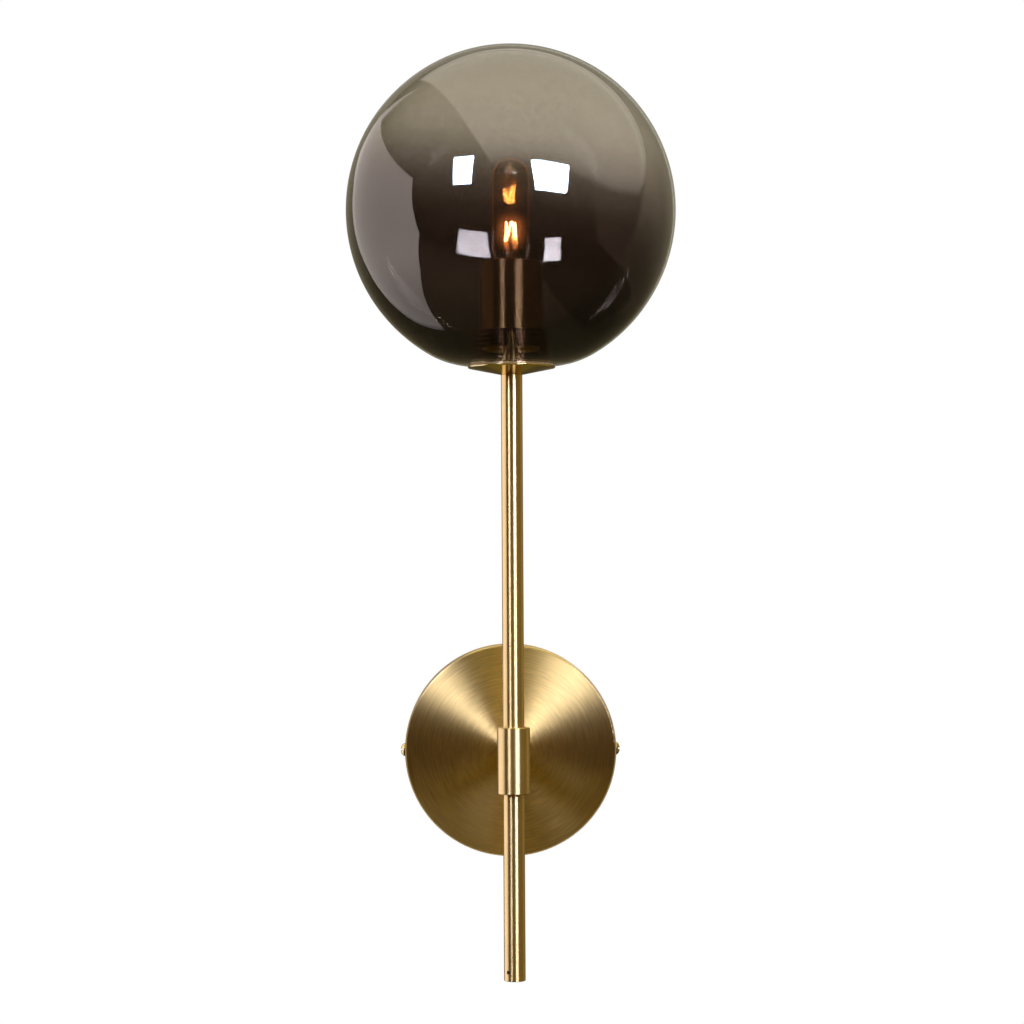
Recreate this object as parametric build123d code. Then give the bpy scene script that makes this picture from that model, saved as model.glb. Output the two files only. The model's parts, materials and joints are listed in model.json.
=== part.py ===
from build123d import *
import os
from math import asin, atan2, cos, pi, radians, sin, sqrt, tan

# Globe wall sconce: a smoked glass globe and a tubular bulb on top of a brass rod, which is held
# in a short sleeve on an arm that stands out of a round wall cover, the rose.
#
# Frame: the origin lies on the wall, in the centre of the rose. +X is to the right, +Z is up and
# -Y points out of the wall into the room. All lengths are millimetres.

# ---- Wall bracket and side screws -------------------------------------------------------------
BRACKET_THICKNESS = 1.5
BRACKET_RING_RADIUS = 19.0
CABLE_HOLE_RADIUS = 9.5
STRAP_WIDTH = 14.0
STRAP_BEND_RADIUS = 1.0
TAB_DEPTH = 18.0
TAB_CLEARANCE = 0.4
MOUNT_SPACING = 60.0
MOUNT_SLOT_WIDTH = 4.5
MOUNT_SLOT_LENGTH = 9.0
EARTH_SCREW_RADIUS = 2.0
EARTH_SCREW_LENGTH = 1.3
EARTH_SCREW_ANGLE = 45.0
EARTH_HEAD_HEIGHT = 2.2
EARTH_WASHER_THICKNESS = 0.8
SIDE_SCREW_RADIUS = 2.0
SIDE_SCREW_LENGTH = 8.0
SIDE_SCREW_DEPTH = 12.0
SIDE_HEAD_RADIUS = 4.1
SIDE_HEAD_HEIGHT = 2.6
HEAD_GAP = 0.1
SIDE_SLOT_CLEARANCE = 0.35

# ---- Rose, the round wall cover ---------------------------------------------------------------
ROSE_RADIUS = 67.5
ROSE_DEPTH = 25.0
ROSE_WALL = 1.2
ROSE_EDGE_RADIUS = 1.5
ROSE_WALL_GAP = 0.5

# ---- Arm, sleeve and rod ----------------------------------------------------------------------
ARM_REACH = 120.0
ARM_RADIUS = 6.5
ARM_THREAD_LENGTH = 12.0
SLEEVE_RADIUS = 9.9
SLEEVE_HEIGHT = 40.0
SLEEVE_CHAMFER = 0.4
SLEEVE_WIRE_HOLE_RADIUS = 4.0
SET_SCREW_RADIUS = 2.0
SET_SCREW_DROP = 13.0
SET_SCREW_SOCKET = 1.0
SET_SCREW_RECESS = 0.2
ROD_RADIUS = 6.5
ROD_CLEARANCE = 0.06
ROD_ABOVE_ARM = 232.8
ROD_BELOW_ARM = 132.0
ROD_CHAMFER = 0.3
ROD_TRAVEL = 8.0
END_PLUG_LENGTH = 10.0
END_SCREW_RADIUS = 1.0
END_SCREW_HEIGHT = 5.5
END_SCREW_ANGLE = 40.0
END_SCREW_RECESS = 0.9
END_SCREW_SOCKET = 0.5

# ---- Hollow threaded stems, their nuts and washers --------------------------------------------
NIPPLE_RADIUS = 4.95
NIPPLE_BORE_RADIUS = 3.9
NIPPLE_PITCH = 1.0
THREAD_FIT = 0.05
THREAD_DEPTH = 0.3
HOLE_PLAY = 0.1
STEM_BEYOND_NUT = 2.9
END_CAP_THICKNESS = 1.0
END_CAP_WALL = 1.7
FINE_PITCH = 0.7
NUT_ACROSS_FLATS = 14.0
NUT_THICKNESS = 3.0
WASHER_RADIUS = 8.8
WASHER_THICKNESS = 0.8
WASHER_TEETH = 12
WASHER_NOTCH_DEPTH = 1.2
TAG_THICKNESS = 0.6
TAG_TONGUE_WIDTH = 4.0
TAG_TONGUE_REACH = 5.5
TAG_CRIMP_WALL = 0.7
TAG_CRIMP_LENGTH = 5.0

# ---- Terminal block behind the rose -----------------------------------------------------------
PLATE_THICKNESS = 1.0
PLATE_WIDTH = 20.0
PLATE_CORNER_RADIUS = 3.0
PLATE_MARGIN_TOP = 2.0
PLATE_MARGIN_FOOT = 1.5
TERMINAL_PITCH = 10.0
BLOCK_HEIGHT = 15.0
BLOCK_DEPTH = 12.0
BLOCK_DROP = 25.0
BLOCK_CHAMFER = 1.0
TERMINAL_TUBE_RADIUS = 2.2
TERMINAL_BORE_RADIUS = 1.4
TERMINAL_SCREW_RADIUS = 1.3
TERMINAL_SCREW_SPACING = 7.0
BLOCK_SCREW_RADIUS = 1.45
BLOCK_SCREW_HEAD_RADIUS = 2.6
BLOCK_SCREW_HEAD_HEIGHT = 1.6
BLOCK_SCREW_RECESS = 2.0
BLOCK_SCREW_PITCH = 0.5
BLOCK_GROOVE_WIDTH = 0.8
TERMINAL_TUBE_INSET = 1.0
TERMINAL_SCREW_INSET = 0.6

# ---- Wires ------------------------------------------------------------------------------------
WIRE_RADIUS = 1.1
WIRE_GAP = 0.2
WIRE_SLOT_PLAY = 0.7
WIRE_BEND_RADIUS = 6.0
WIRE_IN_POLE = 4.5
WIRE_OUT_OF_POLE = 5.5
WIRE_LOOP_DEPTH = 7.5
WIRE_SAG = 0.6
WIRE_BEND_PAST = 1.0
EARTH_LOOP_WIDTH = 10.0
EARTH_LOOP_DROP = 9.0
RISE_START = 8.5
RISE_END = 210.0

# ---- Dish and threaded collar that carry the globe --------------------------------------------
DISH_SHEET = 0.9
DISH_HUB_RADIUS = 7.0
DISH_RISE = 3.9
DISH_BEAD_RADIUS = 0.7
DISH_SEAT_WIDTH = 3.1
DISH_FLOOR_GAP = 0.4
GLASS_GAP = 0.3
RIB_PITCH = 2.9
RIB_DEPTH = 0.8
COLLAR_RIBS = 6
COLLAR_WALL = 1.3
COLLAR_PLATE = 1.6
COLLAR_GAP = 0.4
COLLAR_PLAIN_FOOT = 1.2
COLLAR_PLAIN_TOP = 0.8
THREAD_RUN_OUT = 0.3
GASKET_GAP = 0.1

# ---- Globe ------------------------------------------------------------------------------------
GLOBE_RADIUS = 100.0
GLOBE_WALL = 2.2
FOOT_RADIUS = 50.0
RING_SHEET = 0.6
RING_BAND_STEP = 0.3
RING_PLAIN_TOP = 0.6
RING_RIBS = 6
RING_FIT = 0.1
BOND_GAP = 0.1

# ---- Lamp holder ------------------------------------------------------------------------------
CUP_RADIUS = 19.0
CUP_WALL = 1.0
CUP_FLOOR = 1.2
CUP_HEIGHT = 62.3
HOLDER_RADIUS = 14.2
HOLDER_WALL = 1.5
HOLDER_FIT = 0.2
BASE_HEIGHT = 17.3
BASE_FLOOR = 2.0
BASE_HUB_RADIUS = 8.0
BASE_HUB_HEIGHT = 6.0
BASE_GAP = 0.4
LOCK_SCREW_RADIUS = 1.5
LOCK_SCREW_SOCKET = 0.75
STEM_ENGAGEMENT = 5.3
STEM_IN_ROD = 11.0
INSERT_HEIGHT = 14.0
INSERT_ENTRY = 4.0
INSERT_ROOF = 2.0
POLE_SCREW_RISE = 6.6
SHELL_PLAIN_FOOT = 1.9
SHELL_PLAIN_TOP = 0.8
SHELL_CLEARANCE = 0.4
BARREL_ABOVE_INSERT = 25.0
POLE_OFFSET = 7.0
POLE_RADIUS = 2.1
POLE_BORE_RADIUS = 1.3
CONTACT_STRIP = 0.4
CONTACT_HEIGHT = 2.1

# ---- Bulb -------------------------------------------------------------------------------------
CAP_RADIUS = 6.95
CAP_SHEET = 0.35
CAP_PITCH = 2.8
CAP_RIB_DEPTH = 0.6
CAP_RIBS = 6
CAP_FIT = 0.1
CAP_PLAIN_TOP = 1.2
CAP_LIP_STEP = 0.6
CAP_LIP_RISE = 0.8
CAP_GLASS_GAP = 0.1
SOLDER_HEIGHT = 1.1
INSULATOR_HEIGHT = 2.6
BULB_RADIUS = 11.2
BULB_WALL = 0.7
BULB_STRAIGHT = 41.3
BULB_FLARE = 14.5
BULB_NECK_DEPTH = 6.0
STEM_HEIGHT = 8.5
CONTACT_GAP = 0.2
LEAD_RADIUS = 0.3
FILAMENT_RADIUS = 0.15
FILAMENT_CAGE_RADIUS = 4.2
FILAMENT_HEIGHT = 13.5
FILAMENT_LOOPS = 4
FILAMENT_TURN = -22.0
FILAMENT_SWEEP = 330.0
FILAMENT_LIFT = 8.0
FILAMENT_PEAK_SHARE = 0.65
FILAMENT_BEND_RADIUS = 0.45
ANCHOR_RADIUS = 0.15

# ---- Sizes that follow from the ones above ----------------------------------------------------
ROSE_INNER_RADIUS = ROSE_RADIUS - ROSE_WALL
ROSE_INNER_DEPTH = ROSE_DEPTH - ROSE_WALL
TAB_OUTER_X = sqrt((ROSE_INNER_RADIUS - TAB_CLEARANCE) ** 2 - (STRAP_WIDTH / 2) ** 2)
STEM_BORE = NIPPLE_RADIUS + THREAD_FIT
STEM_HOLE = STEM_BORE + HOLE_PLAY
SLEEVE_BORE_RADIUS = ROD_RADIUS + ROD_CLEARANCE
WIRE_OFFSET = WIRE_RADIUS + WIRE_GAP / 2
WIRE_SLOT_HALF = ROD_TRAVEL + WIRE_RADIUS + WIRE_SLOT_PLAY
WIRE_SLOT_WIDTH = 2 * (WIRE_OFFSET + WIRE_RADIUS + WIRE_SLOT_PLAY)

# The stack on the inner side of the rose, as distances from the wall.
PLATE_FACE = ROSE_INNER_DEPTH - PLATE_THICKNESS
ARM_TAG_FACE = PLATE_FACE - TAG_THICKNESS
ARM_WASHER_FACE = ARM_TAG_FACE - WASHER_THICKNESS
ARM_NUT_FACE = ARM_WASHER_FACE - NUT_THICKNESS
ARM_STEM_START = ARM_NUT_FACE - STEM_BEYOND_NUT
END_CAP_FACE = ARM_STEM_START - END_CAP_THICKNESS
BLOCK_FACE = PLATE_FACE - BLOCK_DEPTH
POLE_DEPTH = PLATE_FACE - BLOCK_DEPTH / 2
BLOCK_TOP = -BLOCK_DROP + BLOCK_HEIGHT / 2

# The nested cylinders at the globe's neck, from the holder's cup outwards.
COLLAR_INNER_RADIUS = CUP_RADIUS + COLLAR_GAP
COLLAR_MID_RADIUS = COLLAR_INNER_RADIUS + COLLAR_WALL + RIB_DEPTH / 2
COLLAR_CREST_RADIUS = COLLAR_MID_RADIUS + RIB_DEPTH / 2
RING_MID_RADIUS = COLLAR_CREST_RADIUS + RING_FIT + RING_SHEET + RIB_DEPTH / 2
RING_BAND_RADIUS = RING_MID_RADIUS + RIB_DEPTH / 2 + RING_BAND_STEP
GLASS_HOLE_RADIUS = RING_BAND_RADIUS + BOND_GAP
DISH_RADIUS = GLASS_HOLE_RADIUS + DISH_SEAT_WIDTH

# Heights above the arm's axis, from the rod's top end upwards.
DISH_FLOOR_Z = ROD_ABOVE_ARM + DISH_SHEET
DISH_BEAD_CENTRE = DISH_RADIUS - DISH_BEAD_RADIUS
DISH_SLOPE = DISH_RISE / (DISH_BEAD_CENTRE - DISH_HUB_RADIUS)
DISH_BEAD_Z = ROD_ABOVE_ARM + DISH_RISE + DISH_BEAD_RADIUS
SEAT_Z = DISH_BEAD_Z + DISH_BEAD_RADIUS + GLASS_GAP
COLLAR_BASE_Z = (
    DISH_FLOOR_Z + DISH_SLOPE * (COLLAR_CREST_RADIUS - DISH_HUB_RADIUS) + DISH_FLOOR_GAP
)
CUP_BASE_Z = COLLAR_BASE_Z + COLLAR_PLATE
COLLAR_RIB_Z = COLLAR_BASE_Z + COLLAR_PLAIN_FOOT
RING_BASE_Z = DISH_FLOOR_Z + DISH_SLOPE * (RING_BAND_RADIUS - DISH_HUB_RADIUS) + DISH_FLOOR_GAP
RING_RIB_Z = COLLAR_RIB_Z + RIB_PITCH
CUP_FLOOR_Z = CUP_BASE_Z + CUP_FLOOR
CUP_TOP_Z = CUP_BASE_Z + CUP_HEIGHT
HOLDER_NUT_Z = CUP_FLOOR_Z + WASHER_THICKNESS
BASE_Z = HOLDER_NUT_Z + NUT_THICKNESS + BASE_GAP
STEM_TOP_Z = BASE_Z + STEM_ENGAGEMENT
BARREL_Z = BASE_Z + BASE_HEIGHT
INSERT_Z = BARREL_Z - INSERT_ENTRY
INSERT_TOP_Z = INSERT_Z + INSERT_HEIGHT
BARREL_TOP_Z = INSERT_TOP_Z + BARREL_ABOVE_INSERT
INSERT_RADIUS = HOLDER_RADIUS - HOLDER_WALL - HOLDER_FIT

# The cap of the bulb and the screw shell round it keep their ribs in step.
SHELL_CREST_RADIUS = CAP_RADIUS + CAP_FIT
SHELL_MID_RADIUS = SHELL_CREST_RADIUS + CAP_RIB_DEPTH / 2 + CAP_SHEET
SHELL_RIB_Z = INSERT_TOP_Z + SHELL_PLAIN_FOOT
CAP_MID_RADIUS = CAP_RADIUS - CAP_RIB_DEPTH / 2
CAP_NECK_RADIUS = CAP_RADIUS - CAP_RIB_DEPTH - CAP_SHEET - CAP_GLASS_GAP
BULB_CONTACT_Z = INSERT_TOP_Z + CONTACT_HEIGHT + CONTACT_GAP
INSULATOR_Z = BULB_CONTACT_Z + SOLDER_HEIGHT
CAP_Z = INSULATOR_Z + INSULATOR_HEIGHT
CAP_RIB_Z = SHELL_RIB_Z + 2 * CAP_PITCH
CAP_TOP_Z = CAP_RIB_Z + CAP_RIBS * CAP_PITCH + CAP_PLAIN_TOP
BULB_SHOULDER_Z = CAP_TOP_Z + BULB_FLARE
STEM_PRESS_Z = CAP_TOP_Z + STEM_HEIGHT
FILAMENT_Z = STEM_PRESS_Z + FILAMENT_LIFT

# The globe's foot is an arc that leaves the sphere at FOOT_RADIUS and ends level at the hole.
FOOT_ANGLE = asin(FOOT_RADIUS / GLOBE_RADIUS)
FOOT_ARC_RADIUS = (FOOT_RADIUS - GLASS_HOLE_RADIUS) / sin(FOOT_ANGLE)
GLOBE_CENTRE_Z = (
    SEAT_Z + FOOT_ARC_RADIUS * (1 - cos(FOOT_ANGLE)) + GLOBE_RADIUS * cos(FOOT_ANGLE)
)

# Frames for the pieces: on the wall, local Z is the distance from the wall and local Y is up.
ON_WALL = Rot(90, 0, 0)
AT_ROD = Pos(0, -ARM_REACH, 0)


# ---- Shared forms -----------------------------------------------------------------------------
def round_corner(before, here, after, radius):
    """Ends and middle of the arc that rounds one corner, no wider than its runs allow."""
    arm_in = before - here
    arm_out = after - here
    half = radians(arm_in.get_angle(arm_out)) / 2
    reach = min(radius / tan(half), 0.45 * arm_in.length, 0.45 * arm_out.length)
    radius = reach * tan(half)
    bisector = (arm_in.normalized() + arm_out.normalized()).normalized()
    start = here + arm_in.normalized() * reach
    end = here + arm_out.normalized() * reach
    middle = here + bisector * (radius / sin(half) - radius)
    return start, middle, end


def outline(corners):
    """Closed edges through (x, y) corners; a third number rounds that corner."""
    points = [Vector(corner[0], corner[1]) for corner in corners]
    ends = []
    arcs = []
    for index, corner in enumerate(corners):
        here = points[index]
        if len(corner) == 2:
            ends.append((here, here))
            continue
        after = points[(index + 1) % len(points)]
        start, middle, end = round_corner(points[index - 1], here, after, corner[2])
        ends.append((start, end))
        arcs.append(ThreePointArc(start, middle, end))
    lines = [Line(ends[index - 1][1], ends[index][0]) for index in range(len(ends))]
    return lines + arcs


def lathe(edges):
    """Solid of revolution about Z of closed edges drawn as (radius, height)."""
    return revolve(Plane.XZ * make_face(edges), Axis.Z)


def turned(corners):
    """Turned piece through (radius, height) corners."""
    return lathe(outline(corners))


def tube(outer, inner, low, high, chamfer=0.0):
    """Round tube about Z with its outer end edges broken."""
    if chamfer == 0.0:
        return turned([(inner, low), (outer, low), (outer, high), (inner, high)])
    return turned(
        [
            (inner, low),
            (outer - chamfer, low),
            (outer, low + chamfer),
            (outer, high - chamfer),
            (outer - chamfer, high),
            (inner, high),
        ]
    )


def path_edges(points):
    """Straight edges from each point to the next."""
    return [Line(start, end) for start, end in zip(points, points[1:])]


def rib_edges(mid_radius, depth, start, pitch, count):
    """Wave of round ribs, rising from start, that begins and ends at the middle radius."""
    edges = []
    for index in range(count):
        foot = start + index * pitch
        for side, turn in enumerate((1, -1)):
            low = foot + side * pitch / 2
            crest = (mid_radius + turn * depth / 2, low + pitch / 4)
            edges.append(ThreePointArc((mid_radius, low), crest, (mid_radius, low + pitch / 2)))
    return edges


def rolled_shell(sheet, depth, mid_radius, rib_start, pitch, count, below, above):
    """Sheet sleeve with rolled ribs; below and above are its plain ends' outer corners."""
    rib_end = rib_start + count * pitch
    outer_low = below + [(mid_radius, rib_start)]
    outer_high = [(mid_radius, rib_end)] + above
    inner_low = [(r - sheet, z) for r, z in outer_low]
    inner_high = [(r - sheet, z) for r, z in outer_high]
    edges = path_edges(outer_low) + path_edges(outer_high)
    edges += path_edges(inner_low) + path_edges(inner_high)
    edges += rib_edges(mid_radius, depth, rib_start, pitch, count)
    edges += rib_edges(mid_radius - sheet, depth, rib_start, pitch, count)
    edges += [Line(outer_low[0], inner_low[0]), Line(outer_high[-1], inner_high[-1])]
    return lathe(edges)


def thread_corners(radius, pitch, low, high):
    """Ridge corners of an outer thread, from low to high."""
    count = max(1, int((high - low) / pitch))
    step = (high - low) / count
    corners = [(radius - THREAD_DEPTH, low)]
    for index in range(count):
        corners.append((radius, low + (index + 0.5) * step))
        corners.append((radius - THREAD_DEPTH, low + (index + 1) * step))
    return corners


def hollow_stem(low, high):
    """Hollow stem with an outer thread, about Z."""
    corners = thread_corners(NIPPLE_RADIUS, NIPPLE_PITCH, low, high)
    return turned(corners + [(NIPPLE_BORE_RADIUS, high), (NIPPLE_BORE_RADIUS, low)])


def hex_nut(across_flats, thickness):
    """Hexagon nut on Z = 0, with both faces' corners turned off."""
    corner = across_flats / sqrt(3)
    flat = across_flats / 2
    break_height = (corner - flat) / 2
    hexagon = RegularPolygon(flat, 6, major_radius=False) - Circle(STEM_BORE)
    turned_off = turned(
        [
            (0, 0),
            (flat, 0),
            (corner, break_height),
            (corner, thickness - break_height),
            (flat, thickness),
            (0, thickness),
        ]
    )
    return extrude(hexagon, thickness) & turned_off


def toothed_washer(radius, thickness):
    """Lock washer on Z = 0 with notches round its edge."""
    notch_width = pi * radius / WASHER_TEETH / 2
    sketch = Circle(radius) - Circle(STEM_HOLE)
    for index in range(WASHER_TEETH):
        angle = 360 / WASHER_TEETH * index
        sketch -= Rot(0, 0, angle) * Pos(radius, 0) * Rectangle(2 * WASHER_NOTCH_DEPTH, notch_width)
    return extrude(sketch, thickness)


def headed_screw(radius, length, head_radius, head_height, pitch):
    """Slotted screw with a domed head: the head's underside lies on Z = 0, the shank below."""
    rim = head_height * 0.25
    slot_depth = head_height * 0.45
    shank = thread_corners(radius, pitch, -length, -0.4)
    corners = [(0, -length)] + shank + [(radius, -0.4), (radius, 0), (head_radius, 0)]
    edges = path_edges(corners + [(head_radius, rim)])
    shoulder = (head_radius * 0.72, rim + (head_height - rim) * 0.66)
    edges.append(ThreePointArc((head_radius, rim), shoulder, (0, head_height)))
    edges.append(Line((0, head_height), (0, -length)))
    slot = Box(3 * head_radius, head_radius * 0.28, 2 * slot_depth)
    return lathe(edges) - Pos(0, 0, head_height) * slot


def grub_screw(radius, length, socket):
    """Headless screw from Z = 0 up to its driven end, with a hexagon socket there."""
    tip = 0.3 * radius
    corners = [(0, 0), (radius - tip, 0), (radius, tip), (radius, length), (0, length)]
    hollow = extrude(RegularPolygon(socket, 6, major_radius=False), length * 0.45)
    return turned(corners) - Pos(0, 0, length * 0.55) * hollow


def slotted_stud(radius, length):
    """Headless screw from Z = 0 up, with a driver slot in its top."""
    return Pos(0, 0, length / 2) * Cylinder(radius, length) - Pos(0, 0, length) * Box(
        3 * radius, radius * 0.4, radius * 0.9
    )


def group(solids):
    """Separate solids that share one node."""
    return Compound(children=list(solids))


# ---- Wall bracket and its screws --------------------------------------------------------------
def earth_screw_place():
    """Where the earth screw stands on the bracket's ring."""
    middle = (CABLE_HOLE_RADIUS + BRACKET_RING_RADIUS) / 2
    angle = radians(EARTH_SCREW_ANGLE)
    return Pos(middle * cos(angle), middle * sin(angle), BRACKET_THICKNESS)


def make_wall_bracket():
    """Steel strap with a ring in its middle and two tabs that take the side screws."""
    thick = BRACKET_THICKNESS
    outside = STRAP_BEND_RADIUS + thick
    strap = [
        (-TAB_OUTER_X, TAB_DEPTH),
        (-TAB_OUTER_X, 0, outside),
        (TAB_OUTER_X, 0, outside),
        (TAB_OUTER_X, TAB_DEPTH),
        (TAB_OUTER_X - thick, TAB_DEPTH),
        (TAB_OUTER_X - thick, thick, STRAP_BEND_RADIUS),
        (thick - TAB_OUTER_X, thick, STRAP_BEND_RADIUS),
        (thick - TAB_OUTER_X, TAB_DEPTH),
    ]
    bracket = extrude(Plane.XZ * make_face(outline(strap)), STRAP_WIDTH / 2, both=True)
    bracket += extrude(Circle(BRACKET_RING_RADIUS), thick)
    bracket -= Pos(0, 0, thick / 2) * Cylinder(CABLE_HOLE_RADIUS, 2 * thick)
    for side in (-1, 1):
        slot = SlotOverall(MOUNT_SLOT_LENGTH, MOUNT_SLOT_WIDTH)
        bracket -= extrude(Pos(side * MOUNT_SPACING / 2, 0) * slot, 2 * thick, both=True)
        tapped = Rot(0, 90, 0) * Cylinder(SIDE_SCREW_RADIUS + THREAD_FIT, 3 * thick)
        bracket -= Pos(side * TAB_OUTER_X, 0, SIDE_SCREW_DEPTH) * tapped
    bracket -= earth_screw_place() * Cylinder(EARTH_SCREW_RADIUS + THREAD_FIT, 3 * thick)
    return ON_WALL * bracket


def make_earth_fixing():
    """Earth screw of the bracket and the washer under its head."""
    place = earth_screw_place()
    height = EARTH_WASHER_THICKNESS
    washer = tube(2 * EARTH_SCREW_RADIUS, EARTH_SCREW_RADIUS + 2 * HOLE_PLAY, 0, height)
    length = EARTH_SCREW_LENGTH + height
    head = 1.8 * EARTH_SCREW_RADIUS
    screw = headed_screw(EARTH_SCREW_RADIUS, length, head, EARTH_HEAD_HEIGHT, FINE_PITCH)
    return ON_WALL * place * Pos(0, 0, height) * screw, ON_WALL * place * washer


def make_side_screw(side):
    """Domed screw through the rose's slot into the bracket's tab; side is -1 or 1."""
    screw = headed_screw(
        SIDE_SCREW_RADIUS, SIDE_SCREW_LENGTH, SIDE_HEAD_RADIUS, SIDE_HEAD_HEIGHT, FINE_PITCH
    )
    seat = side * (ROSE_RADIUS + HEAD_GAP)
    return ON_WALL * Pos(seat, 0, SIDE_SCREW_DEPTH) * Rot(0, 90 * side, 0) * screw


# ---- Rose and what hangs on its inner face ----------------------------------------------------
def make_rose():
    """Spun cup with a stem hole in its face and two open slots in its rear edge."""
    cup = turned(
        [
            (ROSE_RADIUS, ROSE_WALL_GAP),
            (ROSE_RADIUS, ROSE_DEPTH, ROSE_EDGE_RADIUS),
            (STEM_HOLE, ROSE_DEPTH),
            (STEM_HOLE, ROSE_INNER_DEPTH),
            (ROSE_INNER_RADIUS, ROSE_INNER_DEPTH, max(0.3, ROSE_EDGE_RADIUS - ROSE_WALL)),
            (ROSE_INNER_RADIUS, ROSE_WALL_GAP),
        ]
    )
    half = SIDE_SCREW_RADIUS + SIDE_SLOT_CLEARANCE
    for side in (-1, 1):
        round_end = Rot(0, 90, 0) * Cylinder(half, 6 * ROSE_WALL)
        open_end = Pos(0, 0, -SIDE_SCREW_DEPTH / 2) * Box(6 * ROSE_WALL, 2 * half, SIDE_SCREW_DEPTH)
        slot = round_end + open_end
        cup -= Pos(side * ROSE_RADIUS, 0, SIDE_SCREW_DEPTH) * slot
    return ON_WALL * cup


def pole_offsets():
    """Places of the terminal block's three poles from left to right."""
    return [(index - 1) * TERMINAL_PITCH for index in range(3)]


def make_terminal_plate():
    """Steel strip clamped under the arm's nut; it carries the terminal block."""
    top = WASHER_RADIUS + PLATE_MARGIN_TOP
    bottom = BLOCK_TOP - BLOCK_HEIGHT - PLATE_MARGIN_FOOT
    strip = RectangleRounded(PLATE_WIDTH, top - bottom, PLATE_CORNER_RADIUS)
    sketch = Pos(0, (top + bottom) / 2) * strip - Circle(STEM_HOLE)
    for side in (-1, 1):
        hole = Circle(BLOCK_SCREW_RADIUS + THREAD_FIT)
        sketch -= Pos(side * TERMINAL_PITCH / 2, -BLOCK_DROP) * hole
    return ON_WALL * Pos(0, 0, PLATE_FACE) * extrude(sketch, PLATE_THICKNESS)


def make_terminal_block():
    """Moulded body of the three-pole terminal block."""
    width = 3 * TERMINAL_PITCH
    body = Box(width, BLOCK_HEIGHT, BLOCK_DEPTH)
    body = chamfer(body.edges().group_by(Axis.Z)[0], BLOCK_CHAMFER)
    block = Pos(0, -BLOCK_DROP, PLATE_FACE - BLOCK_DEPTH / 2) * body
    for x in pole_offsets():
        bore = Rot(90, 0, 0) * Cylinder(TERMINAL_TUBE_RADIUS + HOLE_PLAY, 2 * BLOCK_HEIGHT)
        block -= Pos(x, -BLOCK_DROP, POLE_DEPTH) * bore
        for rise in (-TERMINAL_SCREW_SPACING / 2, TERMINAL_SCREW_SPACING / 2):
            shaft = Cylinder(TERMINAL_SCREW_RADIUS + 3 * HOLE_PLAY, BLOCK_DEPTH)
            block -= Pos(x, rise - BLOCK_DROP, BLOCK_FACE) * shaft
    for side in (-1, 1):
        hole = Cylinder(BLOCK_SCREW_RADIUS + HOLE_PLAY, 4 * BLOCK_DEPTH)
        recess = Cylinder(BLOCK_SCREW_HEAD_RADIUS + 2 * HOLE_PLAY, 2 * BLOCK_SCREW_RECESS)
        place = Pos(side * TERMINAL_PITCH / 2, -BLOCK_DROP, BLOCK_FACE)
        block -= place * (hole + recess)
    gap = Box(BLOCK_GROOVE_WIDTH, 2 * BLOCK_HEIGHT, 2 * BLOCK_GROOVE_WIDTH)
    for side in (-1, 1):
        for rise in (-1, 1):
            notch = Pos(side * TERMINAL_PITCH / 2, rise * BLOCK_HEIGHT * 1.35, 0) * gap
            block -= Pos(0, -BLOCK_DROP, BLOCK_FACE) * notch
    return ON_WALL * block


def make_terminal_metal():
    """Brass tubes of the poles, their screws, and the screws that hold the block."""
    tubes = []
    screws = []
    length = BLOCK_HEIGHT - 2 * TERMINAL_TUBE_INSET
    screw_length = POLE_DEPTH - TERMINAL_TUBE_RADIUS - BLOCK_FACE - TERMINAL_SCREW_INSET
    for x in pole_offsets():
        sleeve = tube(TERMINAL_TUBE_RADIUS, TERMINAL_BORE_RADIUS, -length / 2, length / 2)
        tubes.append(ON_WALL * Pos(x, -BLOCK_DROP, POLE_DEPTH) * Rot(90, 0, 0) * sleeve)
        for rise in (-TERMINAL_SCREW_SPACING / 2, TERMINAL_SCREW_SPACING / 2):
            stud = Rot(180, 0, 0) * slotted_stud(TERMINAL_SCREW_RADIUS, screw_length)
            seat = POLE_DEPTH - TERMINAL_TUBE_RADIUS
            screws.append(ON_WALL * Pos(x, rise - BLOCK_DROP, seat) * stud)
    fixings = []
    for side in (-1, 1):
        seat = BLOCK_FACE + BLOCK_SCREW_RECESS
        screw = headed_screw(
            BLOCK_SCREW_RADIUS,
            ROSE_INNER_DEPTH - 2 * HOLE_PLAY - seat,
            BLOCK_SCREW_HEAD_RADIUS,
            BLOCK_SCREW_HEAD_HEIGHT,
            BLOCK_SCREW_PITCH,
        )
        place = Pos(side * TERMINAL_PITCH / 2, -BLOCK_DROP, seat)
        fixings.append(ON_WALL * place * Rot(180, 0, 0) * screw)
    return group(tubes), group(screws), group(fixings)


def make_earth_tag():
    """Ring tag under the arm's nut, with the crimp that holds the earth wire."""
    tongue_end = WASHER_RADIUS + TAG_TONGUE_REACH
    crimp_bore = WIRE_RADIUS + HOLE_PLAY
    crimp_radius = WIRE_RADIUS + TAG_CRIMP_WALL
    ring = Circle(WASHER_RADIUS - 0.4)
    tongue = Pos(tongue_end / 2, 0) * Rectangle(tongue_end, TAG_TONGUE_WIDTH)
    sketch = ring + tongue - Circle(STEM_HOLE)
    tag = Pos(0, 0, ARM_TAG_FACE) * extrude(sketch, TAG_THICKNESS)
    crimp_depth = ARM_TAG_FACE - crimp_radius + TAG_THICKNESS / 2
    crimp = Rot(0, 90, 0) * tube(crimp_radius, crimp_bore, 0, TAG_CRIMP_LENGTH)
    tag += Pos(tongue_end - TAG_TONGUE_WIDTH / 2, 0, crimp_depth) * crimp
    wire_space = Rot(0, 90, 0) * Cylinder(crimp_bore, 2 * TAG_TONGUE_REACH)
    tag -= Pos(tongue_end, 0, crimp_depth) * wire_space
    return ON_WALL * tag


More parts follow.
